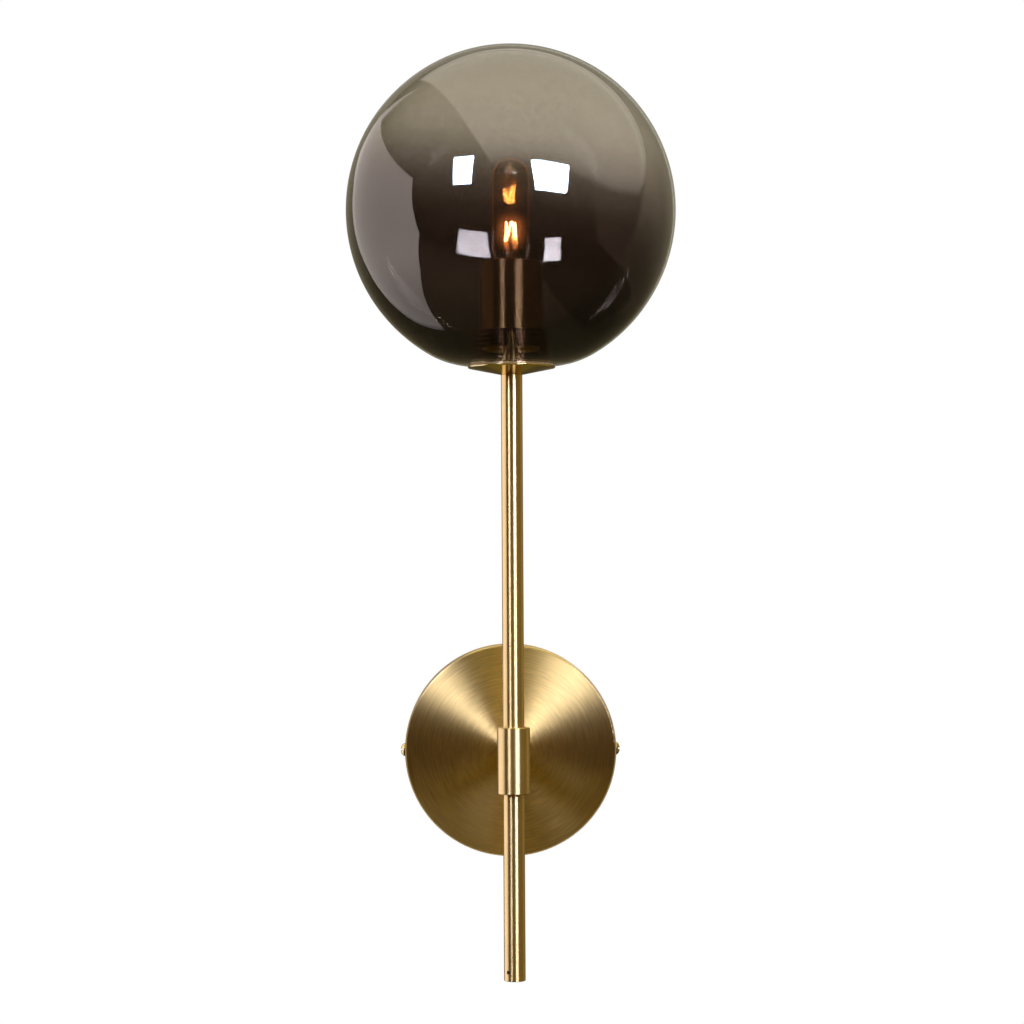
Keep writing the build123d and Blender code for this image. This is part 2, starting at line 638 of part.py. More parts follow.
def make_arm_fixing():
    """Stem, washer, nut and end cap that clamp the arm to the rose."""
    stem = hollow_stem(ARM_STEM_START, ROSE_DEPTH + ARM_THREAD_LENGTH)
    washer = Pos(0, 0, ARM_WASHER_FACE) * toothed_washer(WASHER_RADIUS, WASHER_THICKNESS)
    nut = Pos(0, 0, ARM_NUT_FACE) * hex_nut(NUT_ACROSS_FLATS, NUT_THICKNESS)
    outer = STEM_BORE + END_CAP_WALL
    mouth = NIPPLE_BORE_RADIUS - 2 * HOLE_PLAY
    cap = turned(
        [
            (mouth, END_CAP_FACE, 0.4),
            (outer, END_CAP_FACE, 0.8),
            (outer, ARM_NUT_FACE - 2 * HOLE_PLAY),
            (STEM_BORE, ARM_NUT_FACE - 2 * HOLE_PLAY),
            (STEM_BORE, ARM_STEM_START),
            (mouth, ARM_STEM_START),
        ]
    )
    return ON_WALL * stem, ON_WALL * washer, ON_WALL * nut, ON_WALL * cap


# ---- Arm, sleeve and rod ----------------------------------------------------------------------
def make_arm_tube():
    """Arm from the rose to the sleeve, its end hollowed to the sleeve's roundness."""
    arm = tube(ARM_RADIUS, STEM_BORE, ROSE_DEPTH, ARM_REACH)
    sleeve_space = Pos(0, 0, ARM_REACH) * Rot(90, 0, 0) * Cylinder(SLEEVE_RADIUS, SLEEVE_HEIGHT)
    return ON_WALL * (arm - sleeve_space)


def set_screw_place():
    """Axis of the sleeve's set screw: level, from the rod's surface back towards the wall."""
    tip = ROD_RADIUS + 2 * ROD_CLEARANCE
    return AT_ROD * Pos(0, tip, -SET_SCREW_DROP) * Rot(-90, 0, 0)


def make_sleeve():
    """Short upright tube that the rod slides in, open to the arm at its back."""
    half = SLEEVE_HEIGHT / 2
    body = tube(SLEEVE_RADIUS, SLEEVE_BORE_RADIUS, -half, half, SLEEVE_CHAMFER)
    wire_hole = Rot(-90, 0, 0) * Pos(0, 0, SLEEVE_RADIUS / 2) * Cylinder(
        SLEEVE_WIRE_HOLE_RADIUS, SLEEVE_RADIUS
    )
    screw_hole = Cylinder(SET_SCREW_RADIUS + THREAD_FIT, 4 * SLEEVE_RADIUS)
    back_half = Pos(0, SLEEVE_RADIUS, 0) * Box(
        4 * SLEEVE_RADIUS, 2 * SLEEVE_RADIUS, 2 * SLEEVE_HEIGHT
    )
    return AT_ROD * (body - wire_hole) - (set_screw_place() * screw_hole & AT_ROD * back_half)


def make_set_screw():
    """Headless screw that holds the rod in the sleeve."""
    length = SLEEVE_RADIUS - ROD_RADIUS - 2 * ROD_CLEARANCE - SET_SCREW_RECESS
    return set_screw_place() * grub_screw(SET_SCREW_RADIUS, length, SET_SCREW_SOCKET)


def end_screw_place(radius):
    """Axis of the end plug's screw at a distance from the rod's axis, pointing outwards."""
    height = END_SCREW_HEIGHT - ROD_BELOW_ARM
    outwards = Rot(0, 0, -END_SCREW_ANGLE) * Pos(0, -radius, height)
    return AT_ROD * outwards * Rot(90, 0, 0)


def make_rod():
    """Upright tube with a wire slot hidden in the sleeve and a screw hole near its foot."""
    rod = tube(ROD_RADIUS, STEM_BORE, -ROD_BELOW_ARM, ROD_ABOVE_ARM, ROD_CHAMFER)
    slot = RectangleRounded(WIRE_SLOT_WIDTH, 2 * WIRE_SLOT_HALF, 1.0)
    rod -= extrude(Plane.XZ.offset(-STEM_BORE / 2) * slot, -2 * ROD_RADIUS)
    screw_hole = Pos(0, 0, ROD_RADIUS / 2) * Cylinder(END_SCREW_RADIUS + HOLE_PLAY, ROD_RADIUS)
    return AT_ROD * rod - end_screw_place(ROD_RADIUS / 2) * screw_hole


def make_end_plug():
    """Plug that closes the rod's foot, and the small screw that holds it."""
    radius = STEM_BORE - THREAD_FIT
    low = -ROD_BELOW_ARM
    corners = [(0, low), (radius - 0.3, low), (radius, low + 0.3)]
    plug = AT_ROD * turned(corners + [(radius, low + END_PLUG_LENGTH), (0, low + END_PLUG_LENGTH)])
    start = radius * 0.3
    hole = Pos(0, 0, ROD_RADIUS / 2) * Cylinder(END_SCREW_RADIUS + THREAD_FIT, ROD_RADIUS)
    plug -= end_screw_place(start) * hole
    length = ROD_RADIUS - END_SCREW_RECESS - start
    return plug, end_screw_place(start) * grub_screw(END_SCREW_RADIUS, length, END_SCREW_SOCKET)


# ---- Dish and collar that carry the globe -----------------------------------------------------
def dish_floor(radius):
    """Height of the dish's inner cone at a radius."""
    return DISH_FLOOR_Z + DISH_SLOPE * (radius - DISH_HUB_RADIUS)


def make_dish():
    """Shallow spun cone with a rolled bead round its rim."""
    cone = turned(
        [
            (STEM_HOLE, ROD_ABOVE_ARM),
            (DISH_HUB_RADIUS, ROD_ABOVE_ARM, 4.0),
            (DISH_BEAD_CENTRE, ROD_ABOVE_ARM + DISH_RISE),
            (DISH_BEAD_CENTRE, dish_floor(DISH_BEAD_CENTRE)),
            (DISH_HUB_RADIUS, DISH_FLOOR_Z),
            (STEM_HOLE, DISH_FLOOR_Z),
        ]
    )
    bead = Pos(0, 0, DISH_BEAD_Z) * Torus(DISH_BEAD_CENTRE, DISH_BEAD_RADIUS)
    return AT_ROD * (cone + bead)


def make_globe_gasket():
    """Soft ring on the dish's rim, under the globe's foot."""
    inner = GLASS_HOLE_RADIUS + GLASS_GAP
    outer = DISH_BEAD_CENTRE - DISH_BEAD_RADIUS - GASKET_GAP
    top = SEAT_Z - GASKET_GAP
    ring = [(inner, dish_floor(inner)), (outer, dish_floor(outer)), (outer, top), (inner, top)]
    return AT_ROD * turned(ring)


def make_globe_collar():
    """Turned cup with an outer thread that the globe's neck ring screws on."""
    hub = DISH_HUB_RADIUS - 2 * HOLE_PLAY
    rib_end = COLLAR_RIB_Z + COLLAR_RIBS * RIB_PITCH
    root = COLLAR_CREST_RADIUS - RIB_DEPTH
    top = rib_end + COLLAR_PLAIN_TOP
    edges = path_edges(
        [
            (COLLAR_MID_RADIUS, rib_end),
            (root, rib_end + THREAD_RUN_OUT),
            (root, top),
            (COLLAR_INNER_RADIUS, top),
            (COLLAR_INNER_RADIUS, CUP_BASE_Z),
            (STEM_HOLE, CUP_BASE_Z),
            (STEM_HOLE, DISH_FLOOR_Z),
            (hub, DISH_FLOOR_Z),
            (hub, COLLAR_BASE_Z),
            (root, COLLAR_BASE_Z),
            (root, COLLAR_RIB_Z - THREAD_RUN_OUT),
            (COLLAR_MID_RADIUS, COLLAR_RIB_Z),
        ]
    )
    edges += rib_edges(COLLAR_MID_RADIUS, RIB_DEPTH, COLLAR_RIB_Z, RIB_PITCH, COLLAR_RIBS)
    return AT_ROD * lathe(edges)


# ---- Globe ------------------------------------------------------------------------------------
def globe_edges(radius):
    """Half outline of a sphere with a foot that turns level at the hole, and its end height."""
    centre = Vector(0, GLOBE_CENTRE_Z)
    leave = centre + Vector(radius * sin(FOOT_ANGLE), -radius * cos(FOOT_ANGLE))
    foot_radius = (leave.X - GLASS_HOLE_RADIUS) / sin(FOOT_ANGLE)
    end_z = leave.Y - foot_radius * (1 - cos(FOOT_ANGLE))
    half = FOOT_ANGLE / 2
    middle = (
        GLASS_HOLE_RADIUS + foot_radius * sin(half),
        end_z + foot_radius * (1 - cos(half)),
    )
    shell = ThreePointArc((0, GLOBE_CENTRE_Z + radius), (radius, GLOBE_CENTRE_Z), leave)
    foot = ThreePointArc(leave, middle, (GLASS_HOLE_RADIUS, end_z))
    return [shell, foot], end_z


def make_globe_glass():
    """Blown globe: a thin sphere with a flattened foot and a round hole."""
    outer, outer_end = globe_edges(GLOBE_RADIUS)
    inner, inner_end = globe_edges(GLOBE_RADIUS - GLOBE_WALL)
    top = GLOBE_CENTRE_Z + GLOBE_RADIUS
    rim = Line((GLASS_HOLE_RADIUS, outer_end), (GLASS_HOLE_RADIUS, inner_end))
    crown = Line((0, top), (0, top - GLOBE_WALL))
    return AT_ROD * lathe(outer + inner + [rim, crown])


def make_neck_ring():
    """Rolled threaded ring cemented in the globe's hole."""
    below = [(RING_BAND_RADIUS, RING_BASE_Z), (RING_BAND_RADIUS, RING_RIB_Z - RING_SHEET)]
    above = [(RING_MID_RADIUS, RING_RIB_Z + RING_RIBS * RIB_PITCH + RING_PLAIN_TOP)]
    ring = rolled_shell(
        RING_SHEET, RIB_DEPTH, RING_MID_RADIUS, RING_RIB_Z, RIB_PITCH, RING_RIBS, below, above
    )
    return AT_ROD * ring


# ---- Lamp holder ------------------------------------------------------------------------------
def make_holder_fixing():
    """Stem from the rod's top into the holder, with its washer and nut on the cup's floor."""
    stem = AT_ROD * hollow_stem(ROD_ABOVE_ARM - STEM_IN_ROD, STEM_TOP_Z)
    washer = AT_ROD * Pos(0, 0, CUP_FLOOR_Z) * toothed_washer(WASHER_RADIUS, WASHER_THICKNESS)
    nut = AT_ROD * Pos(0, 0, HOLDER_NUT_Z) * hex_nut(NUT_ACROSS_FLATS, NUT_THICKNESS)
    return stem, washer, nut


def make_holder_cup():
    """Smooth brass sleeve round the lamp holder, closed at its foot."""
    bore = CUP_RADIUS - CUP_WALL
    return AT_ROD * turned(
        [
            (STEM_HOLE, CUP_BASE_Z),
            (CUP_RADIUS, CUP_BASE_Z, 0.8),
            (CUP_RADIUS, CUP_TOP_Z, 0.4),
            (bore, CUP_TOP_Z, 0.4),
            (bore, CUP_FLOOR_Z),
            (STEM_HOLE, CUP_FLOOR_Z),
        ]
    )


def lock_screw_place(radius):
    """Axis of the holder's lock screw at a distance from the stem, pointing left."""
    height = BASE_Z + STEM_ENGAGEMENT * 0.6
    return AT_ROD * Pos(-radius, 0, height) * Rot(0, -90, 0)


def make_holder_base():
    """Lower half of the lamp holder: a moulded cup with a hub on the stem."""
    bore = HOLDER_RADIUS - HOLDER_WALL
    base = turned(
        [
            (STEM_BORE, BASE_Z),
            (HOLDER_RADIUS - 3.0, BASE_Z),
            (HOLDER_RADIUS, BASE_Z + 3.0, 1.5),
            (HOLDER_RADIUS, BARREL_Z),
            (bore, BARREL_Z),
            (bore, INSERT_Z),
            (bore - 1.1, INSERT_Z),
            (bore - 1.1, BASE_Z + BASE_FLOOR + 2.0),
            (bore - 2.6, BASE_Z + BASE_FLOOR),
            (BASE_HUB_RADIUS, BASE_Z + BASE_FLOOR),
            (BASE_HUB_RADIUS, BASE_Z + BASE_HUB_HEIGHT),
            (STEM_BORE, BASE_Z + BASE_HUB_HEIGHT),
        ]
    )
    hole = Pos(0, 0, HOLDER_RADIUS / 2) * Cylinder(
        LOCK_SCREW_RADIUS + THREAD_FIT, HOLDER_RADIUS
    )
    return AT_ROD * base - lock_screw_place(STEM_BORE - 0.2) * hole


def make_lock_screw():
    """Headless screw that locks the holder on its stem."""
    length = BASE_HUB_RADIUS - STEM_BORE + LOCK_SCREW_RADIUS
    return lock_screw_place(STEM_BORE) * grub_screw(LOCK_SCREW_RADIUS, length, LOCK_SCREW_SOCKET)


def make_holder_insert():
    """Ceramic core of the holder, clamped between base and barrel."""
    insert = turned(
        [(0, INSERT_Z), (INSERT_RADIUS, INSERT_Z), (INSERT_RADIUS, INSERT_TOP_Z), (0, INSERT_TOP_Z)]
    )
    depth = INSERT_HEIGHT - INSERT_ROOF
    for side in (-1, 1):
        pole = Pos(side * POLE_OFFSET, 0, INSERT_Z)
        insert -= pole * Pos(0, 0, depth / 2) * Cylinder(POLE_RADIUS + HOLE_PLAY, depth)
        shaft = Rot(0, 90 * side, 0) * Pos(0, 0, HOLDER_RADIUS / 2)
        hole = Cylinder(TERMINAL_SCREW_RADIUS + THREAD_FIT, HOLDER_RADIUS)
        insert -= pole * Pos(0, 0, POLE_SCREW_RISE) * shaft * hole
    return AT_ROD * insert


def make_holder_terminals():
    """Terminal tubes in the insert and the screws that clamp the wires in them."""
    depth = INSERT_HEIGHT - INSERT_ROOF
    poles = []
    screws = []
    for side in (-1, 1):
        pole = AT_ROD * Pos(side * POLE_OFFSET, 0, INSERT_Z)
        top = depth - 2 * HOLE_PLAY
        poles.append(pole * tube(POLE_RADIUS, POLE_BORE_RADIUS, INSERT_ROOF / 2, top))
        length = INSERT_RADIUS - POLE_OFFSET - POLE_RADIUS - 0.4
        seat = Pos(side * POLE_RADIUS, 0, POLE_SCREW_RISE) * Rot(0, 90 * side, 0)
        screws.append(pole * seat * slotted_stud(TERMINAL_SCREW_RADIUS, length))
    return group(poles), group(screws)


def make_holder_barrel():
    """Upper half of the lamp holder, round the insert and the screw shell."""
    shell_bore = SHELL_MID_RADIUS + CAP_RIB_DEPTH / 2 + SHELL_CLEARANCE
    bore = HOLDER_RADIUS - HOLDER_WALL
    return AT_ROD * turned(
        [
            (bore, BARREL_Z),
            (HOLDER_RADIUS, BARREL_Z),
            (HOLDER_RADIUS, BARREL_TOP_Z - 4.0, 2.0),
            (HOLDER_RADIUS - 3.0, BARREL_TOP_Z, 1.0),
            (shell_bore, BARREL_TOP_Z, 0.8),
            (shell_bore, INSERT_TOP_Z),
            (bore, INSERT_TOP_Z),
        ]
    )


def make_screw_shell():
    """Threaded metal shell of the socket, standing on the insert."""
    below = [(SHELL_MID_RADIUS, INSERT_TOP_Z)]
    rib_end = SHELL_RIB_Z + CAP_RIBS * CAP_PITCH
    above = [(SHELL_MID_RADIUS + SHELL_CLEARANCE / 2, rib_end + SHELL_PLAIN_TOP)]
    shell = rolled_shell(
        CAP_SHEET, CAP_RIB_DEPTH, SHELL_MID_RADIUS, SHELL_RIB_Z, CAP_PITCH, CAP_RIBS, below, above
    )
    return AT_ROD * shell


def make_centre_contact():
    """Folded spring strip under the bulb's contact."""
    strip = CONTACT_STRIP
    high = CONTACT_HEIGHT
    corners = [
        (4.5, 0),
        (-4.4, 0),
        (-4.4, high * 0.5),
        (2.5, high),
        (2.5, high - strip),
        (-4.0, high * 0.5 - strip),
        (-4.0, strip),
        (4.5, strip),
    ]
    leaf = extrude(Plane.XZ * make_face(path_edges(corners + corners[:1])), 2.0, both=True)
    return AT_ROD * Pos(0, 0, INSERT_TOP_Z) * leaf


# ---- Bulb -------------------------------------------------------------------------------------
def make_bulb_glass():
    """Clear tube with a round crown; its neck narrows into the cap."""
    top_centre = BULB_SHOULDER_Z + BULB_STRAIGHT
    edges = []
    for inset in (0.0, BULB_WALL):
        neck = CAP_NECK_RADIUS - inset
        side = BULB_RADIUS - inset
        low = CAP_TOP_Z - BULB_NECK_DEPTH
        edges.append(Line((neck, low), (neck, CAP_TOP_Z)))
        swell = (neck, CAP_TOP_Z + BULB_FLARE * 0.3), (side, CAP_TOP_Z + BULB_FLARE * 0.15)
        edges.append(Bezier((neck, CAP_TOP_Z), *swell, (side, BULB_SHOULDER_Z)))
        edges.append(Line((side, BULB_SHOULDER_Z), (side, top_centre)))
        crown = (side * sin(pi / 4), top_centre + side * sin(pi / 4))
        edges.append(ThreePointArc((side, top_centre), crown, (0, top_centre + side)))
    edges.append(Line((CAP_NECK_RADIUS, low), (CAP_NECK_RADIUS - BULB_WALL, low)))
    edges.append(Line((0, top_centre + BULB_RADIUS), (0, top_centre + BULB_RADIUS - BULB_WALL)))
    return AT_ROD * lathe(edges)


def make_bulb_cap():
    """Rolled screw cap of the bulb."""
    below = [(CAP_MID_RADIUS - CAP_LIP_STEP, CAP_Z), (CAP_MID_RADIUS, CAP_Z + CAP_LIP_RISE)]
    above = [(CAP_MID_RADIUS, CAP_TOP_Z)]
    cap = rolled_shell(
        CAP_SHEET, CAP_RIB_DEPTH, CAP_MID_RADIUS, CAP_RIB_Z, CAP_PITCH, CAP_RIBS, below, above
    )
    return AT_ROD * cap


def make_bulb_base():
    """Black glass insulator in the cap's foot and the soldered contact under it."""
    lip = CAP_MID_RADIUS - CAP_LIP_STEP
    play = CAP_GLASS_GAP / 2
    insulator = turned(
        [
            (0, INSULATOR_Z),
            (2.8, INSULATOR_Z),
            (lip, CAP_Z - play, 0.4),
            (lip - CAP_SHEET - play, CAP_Z),
            (lip - CAP_SHEET - play, CAP_Z + CAP_LIP_RISE),
            (0, CAP_Z + CAP_LIP_RISE),
        ]
    )
    contact = turned(
        [(0, BULB_CONTACT_Z), (2.4, BULB_CONTACT_Z, 0.7), (2.6, INSULATOR_Z), (0, INSULATOR_Z)]
    )
    return AT_ROD * insulator, AT_ROD * contact


def make_bulb_stem():
    """Glass mount: a flare tube in the neck that narrows to the flat press."""
    foot = CAP_TOP_Z - BULB_NECK_DEPTH + 0.5
    wide = CAP_NECK_RADIUS - BULB_WALL - 0.15
    stem = turned(
        [
            (wide - 0.7, foot),
            (wide, foot),
            (3.0, foot + 4.0, 2.0),
            (2.6, STEM_PRESS_Z - 3.0, 1.0),
            (2.0, STEM_PRESS_Z, 0.6),
            (0, STEM_PRESS_Z),
            (0, STEM_PRESS_Z - 4.0),
            (1.8, STEM_PRESS_Z - 4.5),
            (2.2, foot + 4.0),
        ]
    )
    return AT_ROD * stem


def wire_solid(points, radius, bends):
    """Round wire along points, rounded at each corner."""
    route = FilletPolyline(*points, radius=bends)
    section = Plane(origin=route @ 0, z_dir=route % 0) * Circle(radius)
    return sweep(section, path=route)


def make_filament():
    """Filament strung up and down round a cage, one peak for each loop."""
    points = []
    for index in range(2 * FILAMENT_LOOPS + 1):
        peak = index % 2
        height = FILAMENT_Z + FILAMENT_HEIGHT * peak
        turn = index * FILAMENT_SWEEP / (2 * FILAMENT_LOOPS)
        angle = radians(180 + FILAMENT_TURN + turn)
        across = FILAMENT_CAGE_RADIUS * (FILAMENT_PEAK_SHARE if peak else 1)
        points.append(Vector(across * cos(angle), across * sin(angle), height))
    bends = [FILAMENT_BEND_RADIUS] * (len(points) - 2)
    return AT_ROD * wire_solid(points, FILAMENT_RADIUS, bends), points


def make_bulb_wires(points):
    """Leads up to the filament's two ends, and anchors that hold its lower bends."""
    leads = []
    anchors = []
    press = STEM_PRESS_Z
    for index, hook in enumerate(points[::2]):
        is_lead = index in (0, FILAMENT_LOOPS)
        angle = atan2(hook.Y, hook.X)
        start = 1.3 if is_lead else 0.8
        radius = LEAD_RADIUS if is_lead else ANCHOR_RADIUS
        foot = Vector(start * cos(angle), start * sin(angle), press)
        low = foot + Vector(0, 0, 1.5)
        end_z = FILAMENT_Z - FILAMENT_RADIUS * 2.5
        high = Vector(hook.X, hook.Y, end_z - 1.2)
        end = Vector(hook.X, hook.Y, end_z)
        wire = AT_ROD * wire_solid([foot, low, high, end], radius, [0.8, 0.8])
        (leads if is_lead else anchors).append(wire)
    return group(leads), group(anchors)


# ---- Wiring -----------------------------------------------------------------------------------
def from_wall(x, up, depth):
    """Point given by its place across, its height and its distance from the wall."""
    return Vector(x, -depth, up)


def bend_radii(points, largest=None):
    """Radius of each bend: 0.45 of the shorter run over the tangent of half the turn."""
    radii = []
    for before, here, after in zip(points, points[1:], points[2:]):
        half = radians((here - before).get_angle(after - here)) / 2
        reach = 0.45 * min((here - before).length, (after - here).length)
        radius = reach / tan(half)
        radii.append(radius if largest is None else min(radius, largest))
    return radii


def make_wire(name, points, last_bend=None):
    """Insulated wire along its points; the last bend can have its own radius."""
    radii = bend_radii(points)
    if last_bend is not None:
        radii[-1] = last_bend
    wire = wire_solid(points, WIRE_RADIUS, radii)
    length = wire.volume / (pi * WIRE_RADIUS**2)
    print(f"{name}: length {length:.1f} mm, bends", [round(radius, 1) for radius in radii])
    return wire


def make_arm_wire(name, side):
    """Wire from its pole through the arm and round into the rod; side is -1 or 1."""
    pole = side * TERMINAL_PITCH
    lane = side * WIRE_OFFSET
    loop = END_CAP_FACE - WIRE_LOOP_DEPTH
    bend_depth = ARM_REACH + WIRE_BEND_PAST
    middle = (END_CAP_FACE + ARM_REACH) / 2
    points = [
        from_wall(pole, BLOCK_TOP - WIRE_IN_POLE, POLE_DEPTH),
        from_wall(pole, BLOCK_TOP + WIRE_OUT_OF_POLE, POLE_DEPTH),
        from_wall(pole * 0.7, -4.0, loop),
        from_wall(lane, 0.0, loop + 1.5),
        from_wall(lane, -WIRE_SAG, middle),
        from_wall(lane, 0.0, bend_depth),
        from_wall(lane, RISE_START, bend_depth),
    ]
    return make_wire(name, points, WIRE_BEND_RADIUS)


def make_rise(side):
    """Straight stretch of wire up the rod; it takes up the rod's travel."""
    length = RISE_END - RISE_START
    place = Pos(side * WIRE_OFFSET, -WIRE_BEND_PAST, RISE_START + length / 2)
    return AT_ROD * place * Cylinder(WIRE_RADIUS, length)


def make_tail(name, side):
    """Last stretch of wire, through the stem and up into the holder's terminal."""
    lane = side * WIRE_OFFSET
    pole = side * POLE_OFFSET
    y = -ARM_REACH
    points = [
        Vector(lane, y - WIRE_BEND_PAST, RISE_END),
        Vector(lane, y - WIRE_BEND_PAST, STEM_TOP_Z + 2.0),
        Vector(pole, y, INSERT_Z - 1.0),
        Vector(pole, y, INSERT_Z + POLE_SCREW_RISE - WIRE_SAG),
    ]
    return make_wire(name, points)


def make_earth_wire():
    """Wire from the middle pole round to the earth tag at the arm's nut."""
    crimp_depth = ARM_TAG_FACE - WIRE_RADIUS - 0.4
    start = WASHER_RADIUS + 4.0
    points = [
        from_wall(start, 0.0, crimp_depth),
        from_wall(start + EARTH_LOOP_WIDTH, 0.0, crimp_depth),
        from_wall(start + EARTH_LOOP_WIDTH + 1.5, -EARTH_LOOP_DROP, crimp_depth - 0.4),
        from_wall(TERMINAL_PITCH * 1.2, BLOCK_TOP + 5.1, crimp_depth - 0.6),
        from_wall(0.0, BLOCK_TOP + 4.3, POLE_DEPTH + 0.4),
        from_wall(0.0, BLOCK_TOP - WIRE_IN_POLE, POLE_DEPTH),
    ]
    return make_wire("earth_wire", points)


# ---- Assembly ---------------------------------------------------------------------------------
def make_bracket_nodes():
    """Pieces that stay on the wall, and the two side screws."""
    screw, washer = make_earth_fixing()
    return {
        "wall_bracket": make_wall_bracket(),
        "bracket_earth_screw": screw,
        "bracket_earth_washer": washer,
        "side_screw_left": make_side_screw(-1),
        "side_screw_right": make_side_screw(1),
    }


def make_arm_nodes():
    """Rose, arm and sleeve, with what they hold."""
    tubes, screws, fixings = make_terminal_metal()
    stem, washer, nut, cap = make_arm_fixing()
    return {
        "rose": make_rose(),
        "terminal_plate": make_terminal_plate(),
        "terminal_block": make_terminal_block(),
        "terminal_tubes": tubes,
        "terminal_screws": screws,
        "block_screws": fixings,
        "earth_tag": make_earth_tag(),
        "arm_nipple": stem,
        "arm_washer": washer,
        "arm_nut": nut,
        "nipple_end_cap": cap,
        "arm_tube": make_arm_tube(),
        "sleeve": make_sleeve(),
        "sleeve_set_screw": make_set_screw(),
        "live_wire": make_arm_wire("live_wire", -1),
        "neutral_wire": make_arm_wire("neutral_wire", 1),
        "earth_wire": make_earth_wire(),
    }


def make_rod_nodes():
    """Rod, dish and collar, with the wires in the rod."""
    plug, plug_screw = make_end_plug()
    return {
        "rod": make_rod(),
        "rod_end_plug": plug,
        "end_plug_screw": plug_screw,
        "dish": make_dish(),
        "globe_gasket": make_globe_gasket(),
        "globe_collar": make_globe_collar(),
        "live_wire_rise": make_rise(-1),
        "neutral_wire_rise": make_rise(1),
        "live_wire_tail": make_tail("live_wire_tail", -1),
        "neutral_wire_tail": make_tail("neutral_wire_tail", 1),
    }


def make_holder_nodes():
    """Lamp holder on top of the rod."""
    stem, washer, nut = make_holder_fixing()
    terminals, terminal_screws = make_holder_terminals()
    return {
        "holder_nipple": stem,
        "holder_washer": washer,
        "holder_nut": nut,
        "holder_cup": make_holder_cup(),
        "holder_base": make_holder_base(),
        "holder_lock_screw": make_lock_screw(),
        "holder_insert": make_holder_insert(),
        "holder_terminals": terminals,
        "holder_terminal_screws": terminal_screws,
        "holder_barrel": make_holder_barrel(),
        "screw_shell": make_screw_shell(),
        "centre_contact": make_centre_contact(),
    }


def make_globe_nodes():
    """Globe with its neck ring."""
    return {"globe_glass": make_globe_glass(), "globe_neck_ring": make_neck_ring()}


def make_bulb_nodes():
    """Bulb, from its contact to its filament."""
    insulator, contact = make_bulb_base()
    filament, points = make_filament()
    leads, anchors = make_bulb_wires(points)
    return {
        "bulb_glass": make_bulb_glass(),
        "bulb_cap": make_bulb_cap(),
        "bulb_insulator": insulator,
        "bulb_contact": contact,
        "bulb_stem": make_bulb_stem(),
        "bulb_leads": leads,
        "bulb_anchors": anchors,
        "bulb_filament": filament,
    }


def main():
    """Builds every node and writes it to its own file."""
    os.makedirs("parts", exist_ok=True)
    nodes = {}
    for make_nodes in (
        make_bracket_nodes,
        make_arm_nodes,
        make_rod_nodes,
        make_holder_nodes,
        make_globe_nodes,
        make_bulb_nodes,
    ):
        nodes.update(make_nodes())
    for name, shape in nodes.items():
        export_step(shape, f"parts/{name}.step")
    print(len(nodes), "nodes; globe centre", round(GLOBE_CENTRE_Z, 2))


main()
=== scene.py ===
"""Looks of a globe wall light: a smoked glass globe on a brass rod, held by an arm on a round rose.

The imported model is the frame: every length is in metres, +Z is up, -Y points out of the wall and the
origin is the centre of the rose on the wall. Each sub-assembly gives its nodes their procedural
finishes, and the globe is made here again as a fine mesh of two shells.
"""

import json
import logging
import math
from abc import ABC, abstractmethod
from dataclasses import dataclass
from enum import Enum

import bmesh
import bpy
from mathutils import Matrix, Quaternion, Vector

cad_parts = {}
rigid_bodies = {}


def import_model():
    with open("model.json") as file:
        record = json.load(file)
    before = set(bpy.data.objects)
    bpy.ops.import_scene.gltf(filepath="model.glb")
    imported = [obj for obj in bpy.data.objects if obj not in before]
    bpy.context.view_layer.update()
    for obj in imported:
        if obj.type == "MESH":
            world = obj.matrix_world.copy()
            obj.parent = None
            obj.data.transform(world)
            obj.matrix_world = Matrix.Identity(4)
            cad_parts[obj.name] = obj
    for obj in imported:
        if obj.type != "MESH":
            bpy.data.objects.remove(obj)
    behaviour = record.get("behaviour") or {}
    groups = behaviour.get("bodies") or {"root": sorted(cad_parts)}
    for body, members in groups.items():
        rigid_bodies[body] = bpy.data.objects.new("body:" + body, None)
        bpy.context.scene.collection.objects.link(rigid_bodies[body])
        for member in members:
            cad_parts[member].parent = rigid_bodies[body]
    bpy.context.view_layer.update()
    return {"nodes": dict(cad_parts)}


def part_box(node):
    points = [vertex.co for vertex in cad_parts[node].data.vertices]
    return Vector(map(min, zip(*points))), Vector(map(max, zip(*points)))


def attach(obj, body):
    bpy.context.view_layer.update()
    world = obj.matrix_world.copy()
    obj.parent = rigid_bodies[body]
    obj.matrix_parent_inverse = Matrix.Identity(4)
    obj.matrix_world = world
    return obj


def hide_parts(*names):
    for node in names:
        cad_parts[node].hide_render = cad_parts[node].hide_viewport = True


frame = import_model()

Colour = tuple[float, float, float]
Socket = bpy.types.NodeSocket

logging.basicConfig(level=logging.INFO, format="%(message)s")
log = logging.getLogger("sconce")

ARM_REACH = 0.12  # from the wall to the rod's axis
ROD_AXIS = Vector((0.0, -ARM_REACH, 0.0))
GLOBE_CENTRE = Vector((0.0, -ARM_REACH, 0.33213))
FILAMENT_CENTRE = Vector((0.0, -ARM_REACH, 0.320))


class Lay(Enum):
    """The axis that the brush marks of a metal piece run round."""

    ROUND_Z = "Z"
    ROUND_Y = "Y"


